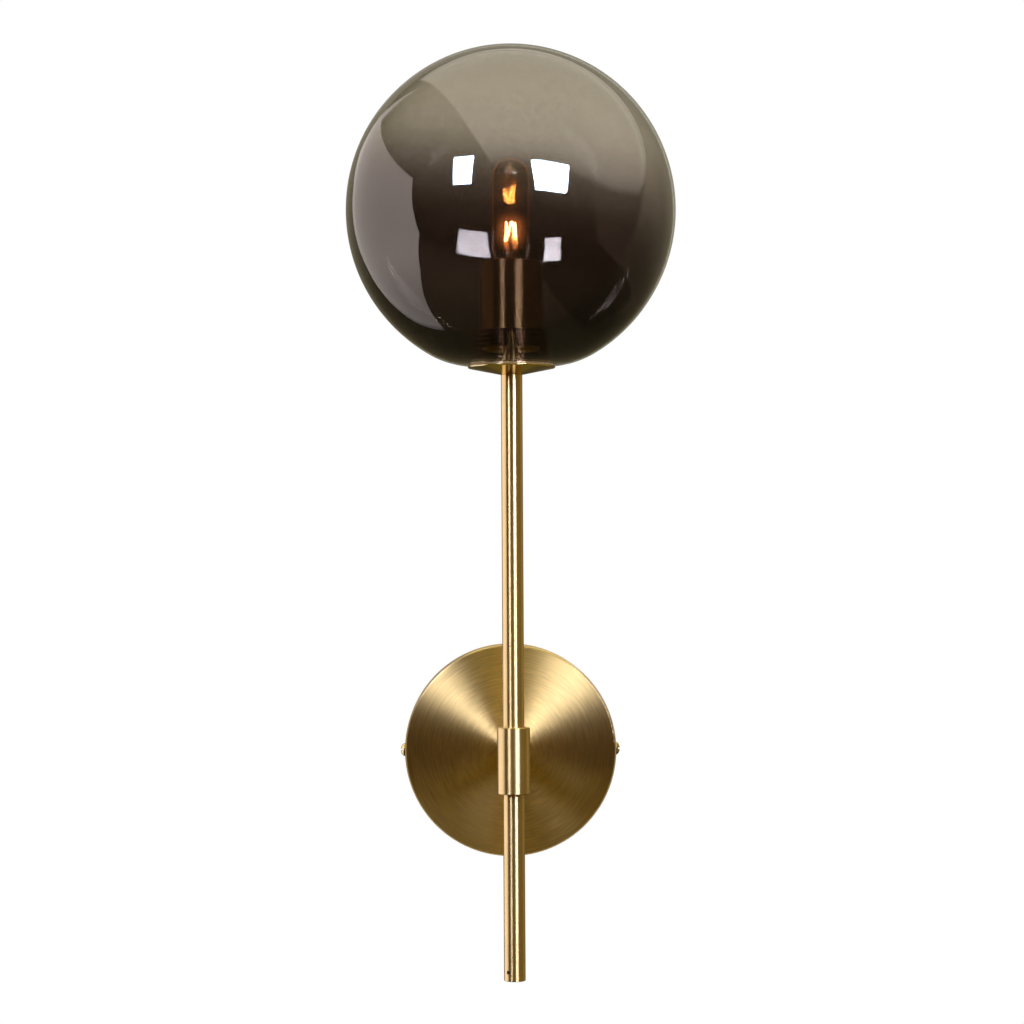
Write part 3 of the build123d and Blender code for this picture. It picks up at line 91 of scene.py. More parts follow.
# ---- Node graphs ----------------------------------------------
class Graph:
    """Adds nodes to one node tree and wires them up."""

    def __init__(self, tree: bpy.types.NodeTree) -> None:
        """Empties a material's or the world's node tree and keeps it."""
        self.tree = tree
        tree.nodes.clear()

    def add(self, kind: str, **settings: object) -> bpy.types.Node:
        """Adds one node.

        Args:
            kind: Node type without the "ShaderNode" prefix.
            settings: Properties of the node, such as its operation.

        Returns:
            The new node.
        """
        node = self.tree.nodes.new("ShaderNode" + kind)
        for name, value in settings.items():
            setattr(node, name, value)
        return node

    def feed(self, node: bpy.types.Node, **inputs: object) -> bpy.types.Node:
        """Links or sets inputs of a node, with underscores for the spaces in their names.

        Args:
            node: The node that takes the values.
            inputs: Sockets to link, or plain values to set.

        Returns:
            The same node.
        """
        for name, value in inputs.items():
            self.put(node.inputs[name.replace("_", " ")], value)
        return node

    def put(self, socket: Socket, value: object) -> None:
        """Links a socket to another, or sets it to a plain value.

        Args:
            socket: The input.
            value: An output socket, a number or a colour.
        """
        if isinstance(value, bpy.types.NodeSocket):
            self.tree.links.new(value, socket)
        elif isinstance(value, tuple) and len(value) == 3 and socket.type == "RGBA":
            socket.default_value = (*value, 1.0)
        else:
            socket.default_value = value

    def math(self, operation: str, *values: object) -> Socket:
        """Adds a Math node.

        Args:
            operation: Blender's name of the operation.
            values: One to three sockets or numbers.

        Returns:
            The result's socket.
        """
        node = self.add("Math", operation=operation)
        for socket, value in zip(node.inputs, values):
            self.put(socket, value)
        return node.outputs[0]

    def vector(self, operation: str, *values: object) -> bpy.types.Node:
        """Adds a Vector Math node.

        Args:
            operation: Blender's name of the operation.
            values: Sockets, vectors or, for a scale, the number last.

        Returns:
            The node, whose outputs are Vector and Value.
        """
        node = self.add("VectorMath", operation=operation)
        sockets = [s for s in node.inputs if s.name != "Scale"]
        if operation == "SCALE":
            sockets = [node.inputs[0], node.inputs["Scale"]]
        for socket, value in zip(sockets, values):
            self.put(socket, value)
        return node

    def smooth(self, value: Socket, low: float, high: float, at_low: float = 0.0,
               at_high: float = 1.0) -> Socket:
        """Maps a value smoothly from one range onto another.

        Args:
            value: The socket to map.
            low: The value that gives at_low.
            high: The value that gives at_high.
            at_low: Result at and below low.
            at_high: Result at and above high.

        Returns:
            The result's socket.
        """
        node = self.add("MapRange", interpolation_type="SMOOTHSTEP")
        for socket, number in zip(node.inputs, (value, low, high, at_low, at_high)):
            self.put(socket, number)
        return node.outputs[0]

    def ramp(self, value: Socket, stops: list[tuple[float, Colour]]) -> Socket:
        """Maps a value onto colours.

        Args:
            value: The socket to map, from 0 to 1.
            stops: Places and colours.

        Returns:
            The colour's socket.
        """
        node = self.add("ValToRGB")
        elements = node.color_ramp.elements
        elements[0].position, elements[-1].position = stops[0][0], stops[-1][0]
        elements[0].color, elements[-1].color = (*stops[0][1], 1.0), (*stops[-1][1], 1.0)
        for place, colour in stops[1:-1]:
            elements.new(place).color = (*colour, 1.0)
        self.put(node.inputs[0], value)
        return node.outputs[0]

    def blend(self, share: object, first: object, second: object) -> Socket:
        """Mixes two colours.

        Args:
            share: How much of the second colour.
            first: A socket or colour.
            second: A socket or colour.

        Returns:
            The colour's socket.
        """
        node = self.add("Mix", data_type="RGBA", blend_type="MIX")
        for socket, value in zip((node.inputs[0], node.inputs[6], node.inputs[7]),
                                 (share, first, second)):
            self.put(socket, value)
        return node.outputs[2]

    def noise(self, place: Socket, scale: float, detail: float = 2.0,
              roughness: float = 0.5) -> Socket:
        """Adds a noise texture.

        Args:
            place: Coordinates.
            scale: Cells per unit of the coordinates.
            detail: Octaves.
            roughness: Weight of the finer octaves.

        Returns:
            The socket with values round 0.5.
        """
        node = self.add("TexNoise")
        self.feed(node, Vector=place, Scale=scale, Detail=detail, Roughness=roughness)
        return node.outputs[0]

    def place(self) -> Socket:
        """Gives the point on the piece, in metres."""
        return self.add("TexCoord").outputs["Object"]

    def split(self, vector: Socket) -> tuple[Socket, Socket, Socket]:
        """Splits a vector into its three numbers.

        Args:
            vector: The socket to split.

        Returns:
            The sockets of X, Y and Z.
        """
        node = self.add("SeparateXYZ")
        self.put(node.inputs[0], vector)
        return node.outputs[0], node.outputs[1], node.outputs[2]

    def join(self, x: object, y: object, z: object) -> Socket:
        """Makes a vector of three numbers.

        Args:
            x: Socket or number.
            y: Socket or number.
            z: Socket or number.

        Returns:
            The vector's socket.
        """
        node = self.add("CombineXYZ")
        for socket, value in zip(node.inputs, (x, y, z)):
            self.put(socket, value)
        return node.outputs[0]

    def mix_shader(self, share: object, first: Socket, second: Socket) -> Socket:
        """Mixes two shaders.

        Args:
            share: How much of the second shader.
            first: A shader's socket.
            second: A shader's socket.

        Returns:
            The mixed shader's socket.
        """
        node = self.add("MixShader")
        for socket, value in zip(node.inputs, (share, first, second)):
            self.put(socket, value)
        return node.outputs[0]

    def grazing(self, head_on: object, power: float = 5.0) -> Socket:
        """Gives how much glass mirrors at the angle it is seen at, alike from both of its sides.

        Args:
            head_on: Share mirrored head on.
            power: How late the rise towards the rim comes.

        Returns:
            The share's socket.
        """
        layer = self.add("LayerWeight")
        layer.inputs["Blend"].default_value = 0.5
        rise = self.math("POWER", layer.outputs["Facing"], power)
        left = self.math("SUBTRACT", 1.0, head_on)
        return self.math("MULTIPLY_ADD", rise, left, head_on)


# ---- Finishes -------------------------------------------------
# Painted highlight at the rim of the rose's face: its colour, loss of metal, width and depth.
PAINTED_RIM_COLOUR: Colour = (0.90, 0.65, 0.27)
PAINTED_RIM_DULLING = 0.35
PAINTED_RIM_WIDTH = 0.0004
PAINTED_RIM_DEPTH = 0.0012
# Colour of the painted glow on the lead wires near the filament.
PAINTED_WIRE_GLOW: Colour = (1.0, 0.36, 0.09)
# Colour of the painted glow on the bulb's glass.
PAINTED_GLASS_GLOW: Colour = (1.0, 0.36, 0.11)


@dataclass(frozen=True)
class Finish(ABC):
    """A procedural finish; each kind builds its own nodes."""

    name: str

    @abstractmethod
    def paint(self, graph: Graph) -> Socket:
        """Builds the finish.

        Args:
            graph: The material's graph.

        Returns:
            The shader's socket.
        """

    def material(self) -> bpy.types.Material:
        """Makes the material, or finds it again if it has been made.

        Returns:
            The material.
        """
        title = self.name + "_finish"
        found = bpy.data.materials.get(title)
        if found is not None:
            return found
        material = bpy.data.materials.new(title)
        material.use_nodes = True
        graph = Graph(material.node_tree)
        output = graph.add("OutputMaterial")
        graph.put(output.inputs["Surface"], self.paint(graph))
        return material


@dataclass(frozen=True)
class Brass(Finish):
    """Brass with brush marks that run round an axis and spread its highlights across them."""

    colour: Colour = (0.87, 0.60, 0.155)
    lay: Lay = Lay.ROUND_Z
    roughness: float = 0.34
    anisotropic: float = 0.97
    centre: tuple[float, float, float] = (0.0, -ARM_REACH, 0.0)
    marks: float = 0.04
    lean: float = 0.0
    streaks: tuple[float, float] = (0.94, 1.04)
    sway: float = 0.002
    painted_rim_highlight: tuple[float, float] | None = None
    marks_across: float = 2200.0
    marks_round: float = 2.5
    mark_depth: float = 0.00002
    tarnish: float = 42.0

    def paint(self, graph: Graph) -> Socket:
        """Builds fine brush marks, faint tarnish clouds and the stretched highlight.

        Args:
            graph: The material's graph.

        Returns:
            The shader's socket.
        """
        place = graph.vector("SUBTRACT", graph.place(), self.centre).outputs[0]
        x, y, z = graph.split(place)
        along, first, second = {Lay.ROUND_Z: (z, x, y), Lay.ROUND_Y: (y, x, z)}[self.lay]
        radius = graph.math("SQRT", graph.math(
            "ADD", graph.math("MULTIPLY", first, first), graph.math("MULTIPLY", second, second)))
        turn = graph.math("ARCTAN2", second, first)
        lines = graph.join(graph.math("MULTIPLY", radius, self.marks_across),
                           graph.math("MULTIPLY", turn, self.marks_round),
                           graph.math("MULTIPLY", along, self.marks_across))
        fine = graph.noise(lines, 1.0, 3.0, 0.65)
        arcs = graph.noise(graph.vector("MULTIPLY", lines, (0.42, 1.3, 0.42)).outputs[0], 1.0, 2.0)
        clouds = graph.noise(place, self.tarnish, 4.0, 0.55)
        shade = graph.smooth(clouds, 0.3, 0.75, 0.94, 1.03)
        deep = graph.vector("SCALE", self.colour, shade).outputs[0]
        streaks = graph.smooth(graph.math("MULTIPLY_ADD", arcs, 0.5, graph.math(
            "MULTIPLY", fine, 0.5)), 0.3, 0.72, *self.streaks)
        colour = graph.vector("SCALE", deep, streaks).outputs[0]
        rough = graph.math("ADD", self.roughness,
                           graph.math("MULTIPLY", graph.math("SUBTRACT", fine, 0.5), 0.03))
        bump = graph.add("Bump")
        graph.feed(bump, Strength=self.marks, Distance=self.mark_depth, Height=fine)
        normal = bump.outputs[0]
        if self.lean:
            outwards = {Lay.ROUND_Z: (x, y, 0.0), Lay.ROUND_Y: (x, 0.0, z)}[self.lay]
            out = graph.vector("NORMALIZE", graph.join(*outwards)).outputs[0]
            lean = graph.vector("SCALE", out, self.lean).outputs[0]
            leaning = graph.vector("ADD", normal, lean).outputs[0]
            normal = graph.vector("NORMALIZE", leaning).outputs[0]
        shader = graph.add("BsdfPrincipled")
        shader.inputs["Metallic"].default_value = 1.0
        # Painted highlight: a band at the rim of the face is made lighter and less metallic, a light
        # line that stands in for the bevel's reflection.
        if self.painted_rim_highlight:
            start, front = self.painted_rim_highlight
            edge = graph.math(
                "MULTIPLY", graph.smooth(radius, start, start + PAINTED_RIM_WIDTH),
                graph.smooth(along, front + PAINTED_RIM_DEPTH, front + PAINTED_RIM_DEPTH - PAINTED_RIM_WIDTH))
            graph.put(shader.inputs["Metallic"],
                      graph.math("MULTIPLY_ADD", edge, -PAINTED_RIM_DULLING, 1.0))
            colour = graph.blend(edge, colour, PAINTED_RIM_COLOUR)
        shader.inputs["Anisotropic"].default_value = self.anisotropic
        graph.put(shader.inputs["Anisotropic Rotation"], graph.math(
            "MULTIPLY_ADD", graph.math("SUBTRACT", arcs, 0.5), self.sway * 2.0, 0.25))
        tangent = graph.add("Tangent", direction_type="RADIAL", axis=self.lay.value)
        graph.feed(shader, Base_Color=colour, Roughness=rough, Normal=normal,
                   Tangent=tangent.outputs[0])
        return shader.outputs[0]


@dataclass(frozen=True)
class Plated(Finish):
    """Plain or plated metal with a fine satin grain and a little unevenness.

    It can have painted shade and dirt in the rings between ribs, and a painted glow near the filament.
    """

    colour: Colour = (0.6, 0.61, 0.62)
    roughness: float = 0.28
    grain: float = 900.0
    depth: float = 0.15
    painted_glow: float = 0.0
    painted_glow_reach: tuple[float, float] = (0.016, 0.002)
    ribs: float = 0.0
    first_rib: float = 0.0

    def paint(self, graph: Graph) -> Socket:
        """Builds the grain and the uneven sheen.

        Args:
            graph: The material's graph.

        Returns:
            The shader's socket.
        """
        place = graph.place()
        fine = graph.noise(place, self.grain, 3.0, 0.6)
        clouds = graph.noise(place, 120.0, 3.0)
        colour = graph.vector("SCALE", self.colour,
                              graph.smooth(clouds, 0.25, 0.75, 0.9, 1.05)).outputs[0]
        rough = graph.smooth(clouds, 0.2, 0.8, self.roughness * 0.8, self.roughness * 1.25)
        bump = graph.add("Bump")
        graph.feed(bump, Strength=self.depth, Distance=0.00003, Height=fine)
        # Painted shade and dirt: the valleys between the ribs are darkened, so that the highlights on
        # the ribs stand out.
        if self.ribs:
            height = graph.math("SUBTRACT", graph.split(place)[2], self.first_rib)
            wave = graph.math("SINE", graph.math("MULTIPLY", height, math.tau / self.ribs))
            colour = graph.vector("SCALE", colour,
                                  graph.smooth(wave, -0.6, 0.4, 0.3, 1.0)).outputs[0]
        shader = graph.add("BsdfPrincipled")
        shader.inputs["Metallic"].default_value = 1.0
        graph.feed(shader, Base_Color=colour, Roughness=rough, Normal=bump.outputs[0])
        # Painted glow: the wire glows near the filament, standing in for the filament's light falling
        # on it.
        if self.painted_glow:
            from_hot = graph.vector("DISTANCE", place, tuple(FILAMENT_CENTRE)).outputs[1]
            near = graph.math("POWER", graph.smooth(from_hot, *self.painted_glow_reach), 2.0)
            shader.inputs["Emission Color"].default_value = (*PAINTED_WIRE_GLOW, 1.0)
            graph.put(shader.inputs["Emission Strength"],
                      graph.math("MULTIPLY", near, self.painted_glow))
        return shader.outputs[0]


@dataclass(frozen=True)
class Moulded(Finish):
    """Moulded plastic, rubber or ceramic with a fine surface grain."""

    colour: Colour = (0.8, 0.8, 0.78)
    roughness: float = 0.5
    grain: float = 1500.0
    depth: float = 0.1

    def paint(self, graph: Graph) -> Socket:
        """Builds the grain and a faint mottle.

        Args:
            graph: The material's graph.

        Returns:
            The shader's socket.
        """
        place = graph.place()
        mottle = graph.noise(place, 160.0, 3.0)
        colour = graph.vector("SCALE", self.colour,
                              graph.smooth(mottle, 0.2, 0.8, 0.92, 1.04)).outputs[0]
        rough = graph.smooth(mottle, 0.2, 0.8, self.roughness * 0.9, self.roughness * 1.1)
        bump = graph.add("Bump")
        graph.feed(bump, Strength=self.depth, Distance=0.00004,
                   Height=graph.noise(place, self.grain, 2.0))
        shader = graph.add("BsdfPrincipled")
        graph.feed(shader, Base_Color=colour, Roughness=rough, Normal=bump.outputs[0])
        return shader.outputs[0]


@dataclass(frozen=True)
class EarthCable(Finish):
    """Yellow insulation with green stripes that run along the wire."""

    green: Colour = (0.06, 0.30, 0.07)
    yellow: Colour = (0.75, 0.62, 0.05)
    stripes: float = 2600.0

    def paint(self, graph: Graph) -> Socket:
        """Builds the two-coloured insulation.

        Args:
            graph: The material's graph.

        Returns:
            The shader's socket.
        """
        x, y, _ = graph.split(graph.place())
        wave = graph.math("SINE", graph.math("MULTIPLY", graph.math("ADD", y, x), self.stripes))
        colour = graph.blend(graph.smooth(wave, -0.15, 0.15), self.green, self.yellow)
        shader = graph.add("BsdfPrincipled")
        rough = graph.smooth(graph.noise(graph.place(), 300.0), 0.2, 0.8, 0.35, 0.48)
        graph.feed(shader, Base_Color=colour, Roughness=rough)
        return shader.outputs[0]


@dataclass(frozen=True)
class ClearGlass(Finish):
    """Thin clear glass: it lets light straight through and mirrors more towards its rim.

    It can be rippled, and carry a painted glow in front of the filament and along its outline.
    """

    tint: Colour = (0.97, 0.95, 0.92)
    rim: Colour = (0.9, 0.88, 0.84)
    mirror: float = 0.045
    ripple: float = 0.0
    ripple_scale: float = 1600.0
    ripple_depth: float = 0.00007
    glow: float = 0.0
    glow_reach: tuple[float, float] = (0.0175, 0.0095)

    def paint(self, graph: Graph) -> Socket:
        """Builds the clear body, its mirror, faint drawing lines, ripples and glow.

        Args:
            graph: The material's graph.

        Returns:
            The shader's socket.
        """
        clear = graph.add("BsdfTransparent")
        x, y, z = graph.split(graph.place())
        stretched = graph.join(x, y, graph.math("MULTIPLY", z, 0.1))
        lines = graph.noise(stretched, 260.0, 2.0)
        edge = graph.grazing(0.0, 3.0)
        tint = graph.vector("SCALE", graph.blend(edge, self.tint, self.rim),
                            graph.smooth(lines, 0.2, 0.8, 0.97, 1.0)).outputs[0]
        graph.put(clear.inputs[0], tint)
        gloss = graph.add("BsdfPrincipled")
        gloss.inputs["Metallic"].default_value = 1.0
        gloss.inputs["Base Color"].default_value = (1.0, 0.99, 0.97, 1.0)
        rough = graph.smooth(lines, 0.2, 0.8, 0.004, 0.015)
        ripples = graph.noise(graph.join(x, y, graph.math("MULTIPLY", z, 0.3)),
                              self.ripple_scale, 3.0)
        bump = graph.add("Bump")
        graph.feed(bump, Strength=self.ripple, Distance=self.ripple_depth, Height=ripples)
        graph.feed(gloss, Roughness=rough, Normal=bump.outputs[0])
        glass = graph.mix_shader(graph.grazing(self.mirror), clear.outputs[0], gloss.outputs[0])
        if not self.glow:
            return glass
        # Painted glow: filament light painted onto the glass in front of the filament, plus a thin
        # glow along the glass's outline.
        from_hot = graph.vector("DISTANCE", graph.place(), tuple(FILAMENT_CENTRE)).outputs[1]
        near = graph.math("POWER", graph.smooth(from_hot, *self.glow_reach), 2.0)
        fronting = graph.math("POWER", graph.math("SUBTRACT", 1.0, graph.grazing(0.0, 1.0)), 4.0)
        rim = graph.math("MULTIPLY", graph.grazing(0.0, 12.0), 0.9)
        painted_glow_shader = graph.add("Emission")
        painted_glow_shader.inputs["Color"].default_value = (*PAINTED_GLASS_GLOW, 1.0)
        graph.put(painted_glow_shader.inputs["Strength"], graph.math("MULTIPLY", graph.math(
            "MULTIPLY_ADD", near, fronting, rim), self.glow))
        both = graph.add("AddShader")
        graph.put(both.inputs[0], glass)
        graph.put(both.inputs[1], painted_glow_shader.outputs[0])
        return both.outputs[0]


@dataclass(frozen=True)
class SmokeCoat(Finish):
    """Half-mirror smoke on the inside of the globe, dark below and thin at the crown."""

    fade_low: float = 0.250
    fade_high: float = 0.390
    tilt: float = -0.10
    crown: Colour = (0.60, 0.555, 0.475)
    foot: Colour = (0.066, 0.056, 0.040)
    mirror_crown: float = 0.05
    mirror_outside: float = 0.15
    mirror_inside: float = 0.25
    mirror_colour: Colour = (1.0, 0.91, 0.86)
    lamp_share: float = 0.75
    crown_depth: float = 0.07
    wobble: float = 0.012
    under: tuple[float, float] = (0.300, 0.262)
    under_loss: float = 0.6

    def paint(self, graph: Graph) -> Socket:
        """Builds the fading smoke with the mirror that goes with it.

        Args:
            graph: The material's graph.

        Returns:
            The shader's socket.
        """
        place = graph.place()
        x, y, z = graph.split(place)
        wobble = graph.math("MULTIPLY", graph.math(
            "SUBTRACT", graph.noise(place, 16.0, 2.0), 0.5), self.wobble)
        level = graph.math("ADD", graph.math("MULTIPLY_ADD", x, -self.tilt, z), wobble)
        height = graph.add("MapRange")
        for socket, number in zip(height.inputs, (level, self.fade_low, self.fade_high)):
            graph.put(socket, number)
        height = height.outputs[0]
        fade = graph.smooth(level, self.fade_high - self.crown_depth, self.fade_high)
        under = graph.smooth(z, *self.under)
        cloud = graph.noise(place, 420.0, 3.0, 0.6)
        rain = graph.noise(graph.join(graph.math("MULTIPLY", x, 700.0), graph.math(
            "MULTIPLY", y, 700.0), graph.math("MULTIPLY", z, 160.0)), 1.0, 2.0)
        mottle = graph.math("MULTIPLY", graph.smooth(cloud, 0.25, 0.75, 0.965, 1.025),
                            graph.smooth(rain, 0.3, 0.7, 0.97, 1.02))
        seen = graph.vector("SCALE", graph.ramp(height, [
            (0.0, self.foot),
            (0.25, (0.068, 0.050, 0.044)),
            (0.50, (0.094, 0.072, 0.060)),
            (0.62, (0.185, 0.155, 0.132)),
            (0.73, (0.312, 0.276, 0.238)),
            (0.84, (0.485, 0.442, 0.380)),
            (0.93, (0.560, 0.520, 0.445)),
            (1.0, self.crown),
        ]), mottle).outputs[0]
        lit = graph.blend(self.lamp_share, seen, (1.0, 1.0, 1.0))
        camera = graph.add("LightPath").outputs["Is Camera Ray"]
        clear = graph.add("BsdfTransparent")
        graph.put(clear.inputs[0], graph.blend(camera, lit, seen))
        mirror = graph.add("BsdfPrincipled")
        mirror.inputs["Metallic"].default_value = 1.0
        mirror.inputs["Base Color"].default_value = (*self.mirror_colour, 1.0)
        graph.put(mirror.inputs["Roughness"], graph.smooth(cloud, 0.2, 0.8, 0.015, 0.035))
        outside = graph.add("NewGeometry").outputs["Backfacing"]
        foot = graph.math("MULTIPLY", graph.math(
            "MULTIPLY_ADD", outside, self.mirror_outside - self.mirror_inside,
            self.mirror_inside), graph.math("MULTIPLY_ADD", under, -self.under_loss, 1.0))
        gain = graph.math("SUBTRACT", self.mirror_crown, foot)
        head_on = graph.math("MULTIPLY_ADD", graph.math("POWER", fade, 1.6), gain, foot)
        share = graph.grazing(head_on, 6.0)
        return graph.mix_shader(share, clear.outputs[0], mirror.outputs[0])


@dataclass(frozen=True)
class Glow(Finish):
    """Hot wire that glows unevenly along its length."""

    colour: Colour = (1.0, 0.44, 0.13)
    strength: float = 700.0

    def paint(self, graph: Graph) -> Socket:
        """Builds the glow, brighter in patches along the wire.

        Args:
            graph: The material's graph.

        Returns:
            The shader's socket.
        """
        patches = graph.smooth(graph.noise(graph.place(), 500.0, 2.0), 0.3, 0.7, 0.6, 1.3)
        shader = graph.add("BsdfPrincipled")
        shader.inputs["Base Color"].default_value = (0.05, 0.03, 0.02, 1.0)
        shader.inputs["Emission Color"].default_value = (*self.colour, 1.0)
        graph.put(shader.inputs["Emission Strength"],
                  graph.math("MULTIPLY", patches, self.strength))
        return shader.outputs[0]


SATIN_BRASS = Brass("satin_brass")
SLEEVE_BRASS = Brass("sleeve_brass", roughness=0.37, anisotropic=0.95)
ARM_BRASS = Brass("arm_brass", lay=Lay.ROUND_Y, centre=(0.0, 0.0, 0.0))
ROSE_BRASS = Brass("rose_brass", colour=(0.82, 0.565, 0.12), lay=Lay.ROUND_Y,
                   centre=(0.0, 0.0, 0.0), roughness=0.345, anisotropic=0.88, marks=0.35,
                   lean=0.17, streaks=(0.80, 1.12), sway=0.02, painted_rim_highlight=(0.0664, -0.025))
DISH_BRASS = Brass("dish_brass", colour=(0.84, 0.62, 0.20), roughness=0.15, anisotropic=0.5,
                   marks=0.05)
CUP_BRASS = Brass("cup_brass", colour=(0.60, 0.34, 0.17), roughness=0.3)
NECK_BRASS = Plated("neck_brass", colour=(0.50, 0.27, 0.20), roughness=0.16, depth=0.05,
                    ribs=0.0029, first_rib=0.2383)
PLAIN_BRASS = Plated("plain_brass", colour=(0.78, 0.58, 0.28), roughness=0.22)
SCREW_BRASS = Plated("screw_brass", colour=(0.87, 0.62, 0.18), roughness=0.16)
ZINC = Plated("zinc_steel", colour=(0.60, 0.61, 0.62), roughness=0.3)
BLACKENED = Plated("dark_steel", colour=(0.07, 0.07, 0.075), roughness=0.4)
NICKEL = Plated("nickel", colour=(0.72, 0.69, 0.63), roughness=0.18)
LIT_WIRE = Plated("lit_wire", colour=(0.72, 0.66, 0.58), roughness=0.25, painted_glow=60.0)
SOLDER = Plated("solder", colour=(0.58, 0.58, 0.58), roughness=0.42, depth=0.4)
BLACK_PLASTIC = Moulded("black_plastic", colour=(0.035, 0.035, 0.038), roughness=0.42)
WHITE_NYLON = Moulded("white_nylon", colour=(0.82, 0.81, 0.77), roughness=0.5)
CERAMIC = Moulded("white_ceramic", colour=(0.84, 0.82, 0.77), roughness=0.62, depth=0.2)
SILICONE = Moulded("clear_silicone", colour=(0.62, 0.61, 0.57), roughness=0.55)
BLACK_GLASS = Moulded("black_glass", colour=(0.03, 0.03, 0.035), roughness=0.12, depth=0.03)
BROWN_PVC = Moulded("brown_pvc", colour=(0.17, 0.075, 0.035), roughness=0.42)
BLUE_PVC = Moulded("blue_pvc", colour=(0.05, 0.16, 0.45), roughness=0.42)
EARTH_PVC = EarthCable("earth_pvc")
BULB_GLASS = ClearGlass("clear_glass", tint=(0.995, 0.98, 0.955), rim=(0.86, 0.78, 0.70),
                        mirror=0.06, ripple=1.0, glow=1.9)
STEM_GLASS = ClearGlass("stem_glass", tint=(0.985, 0.95, 0.90), mirror=0.06)
GLOBE_OUTSIDE = ClearGlass("globe_outside", tint=(0.985, 0.985, 0.97),
                           rim=(0.62, 0.60, 0.48), mirror=0.03)
GLOBE_COAT = SmokeCoat("smoked_glass")
FILAMENT = Glow("hot_filament")


# ---- Sub-assemblies -------------------------------------------
@dataclass
class SubAssembly:
    """Some CAD nodes that belong together, and the finish of each."""

    name: str
    finishes: dict[str, Finish]

    def dress(self) -> None:
        """Gives each node its finish."""
        for node, finish in self.finishes.items():
            obj = frame["nodes"][node]
            obj.data.materials.clear()
            obj.data.materials.append(finish.material())
            log.info("%s: %s in %s", self.name, node, finish.name)


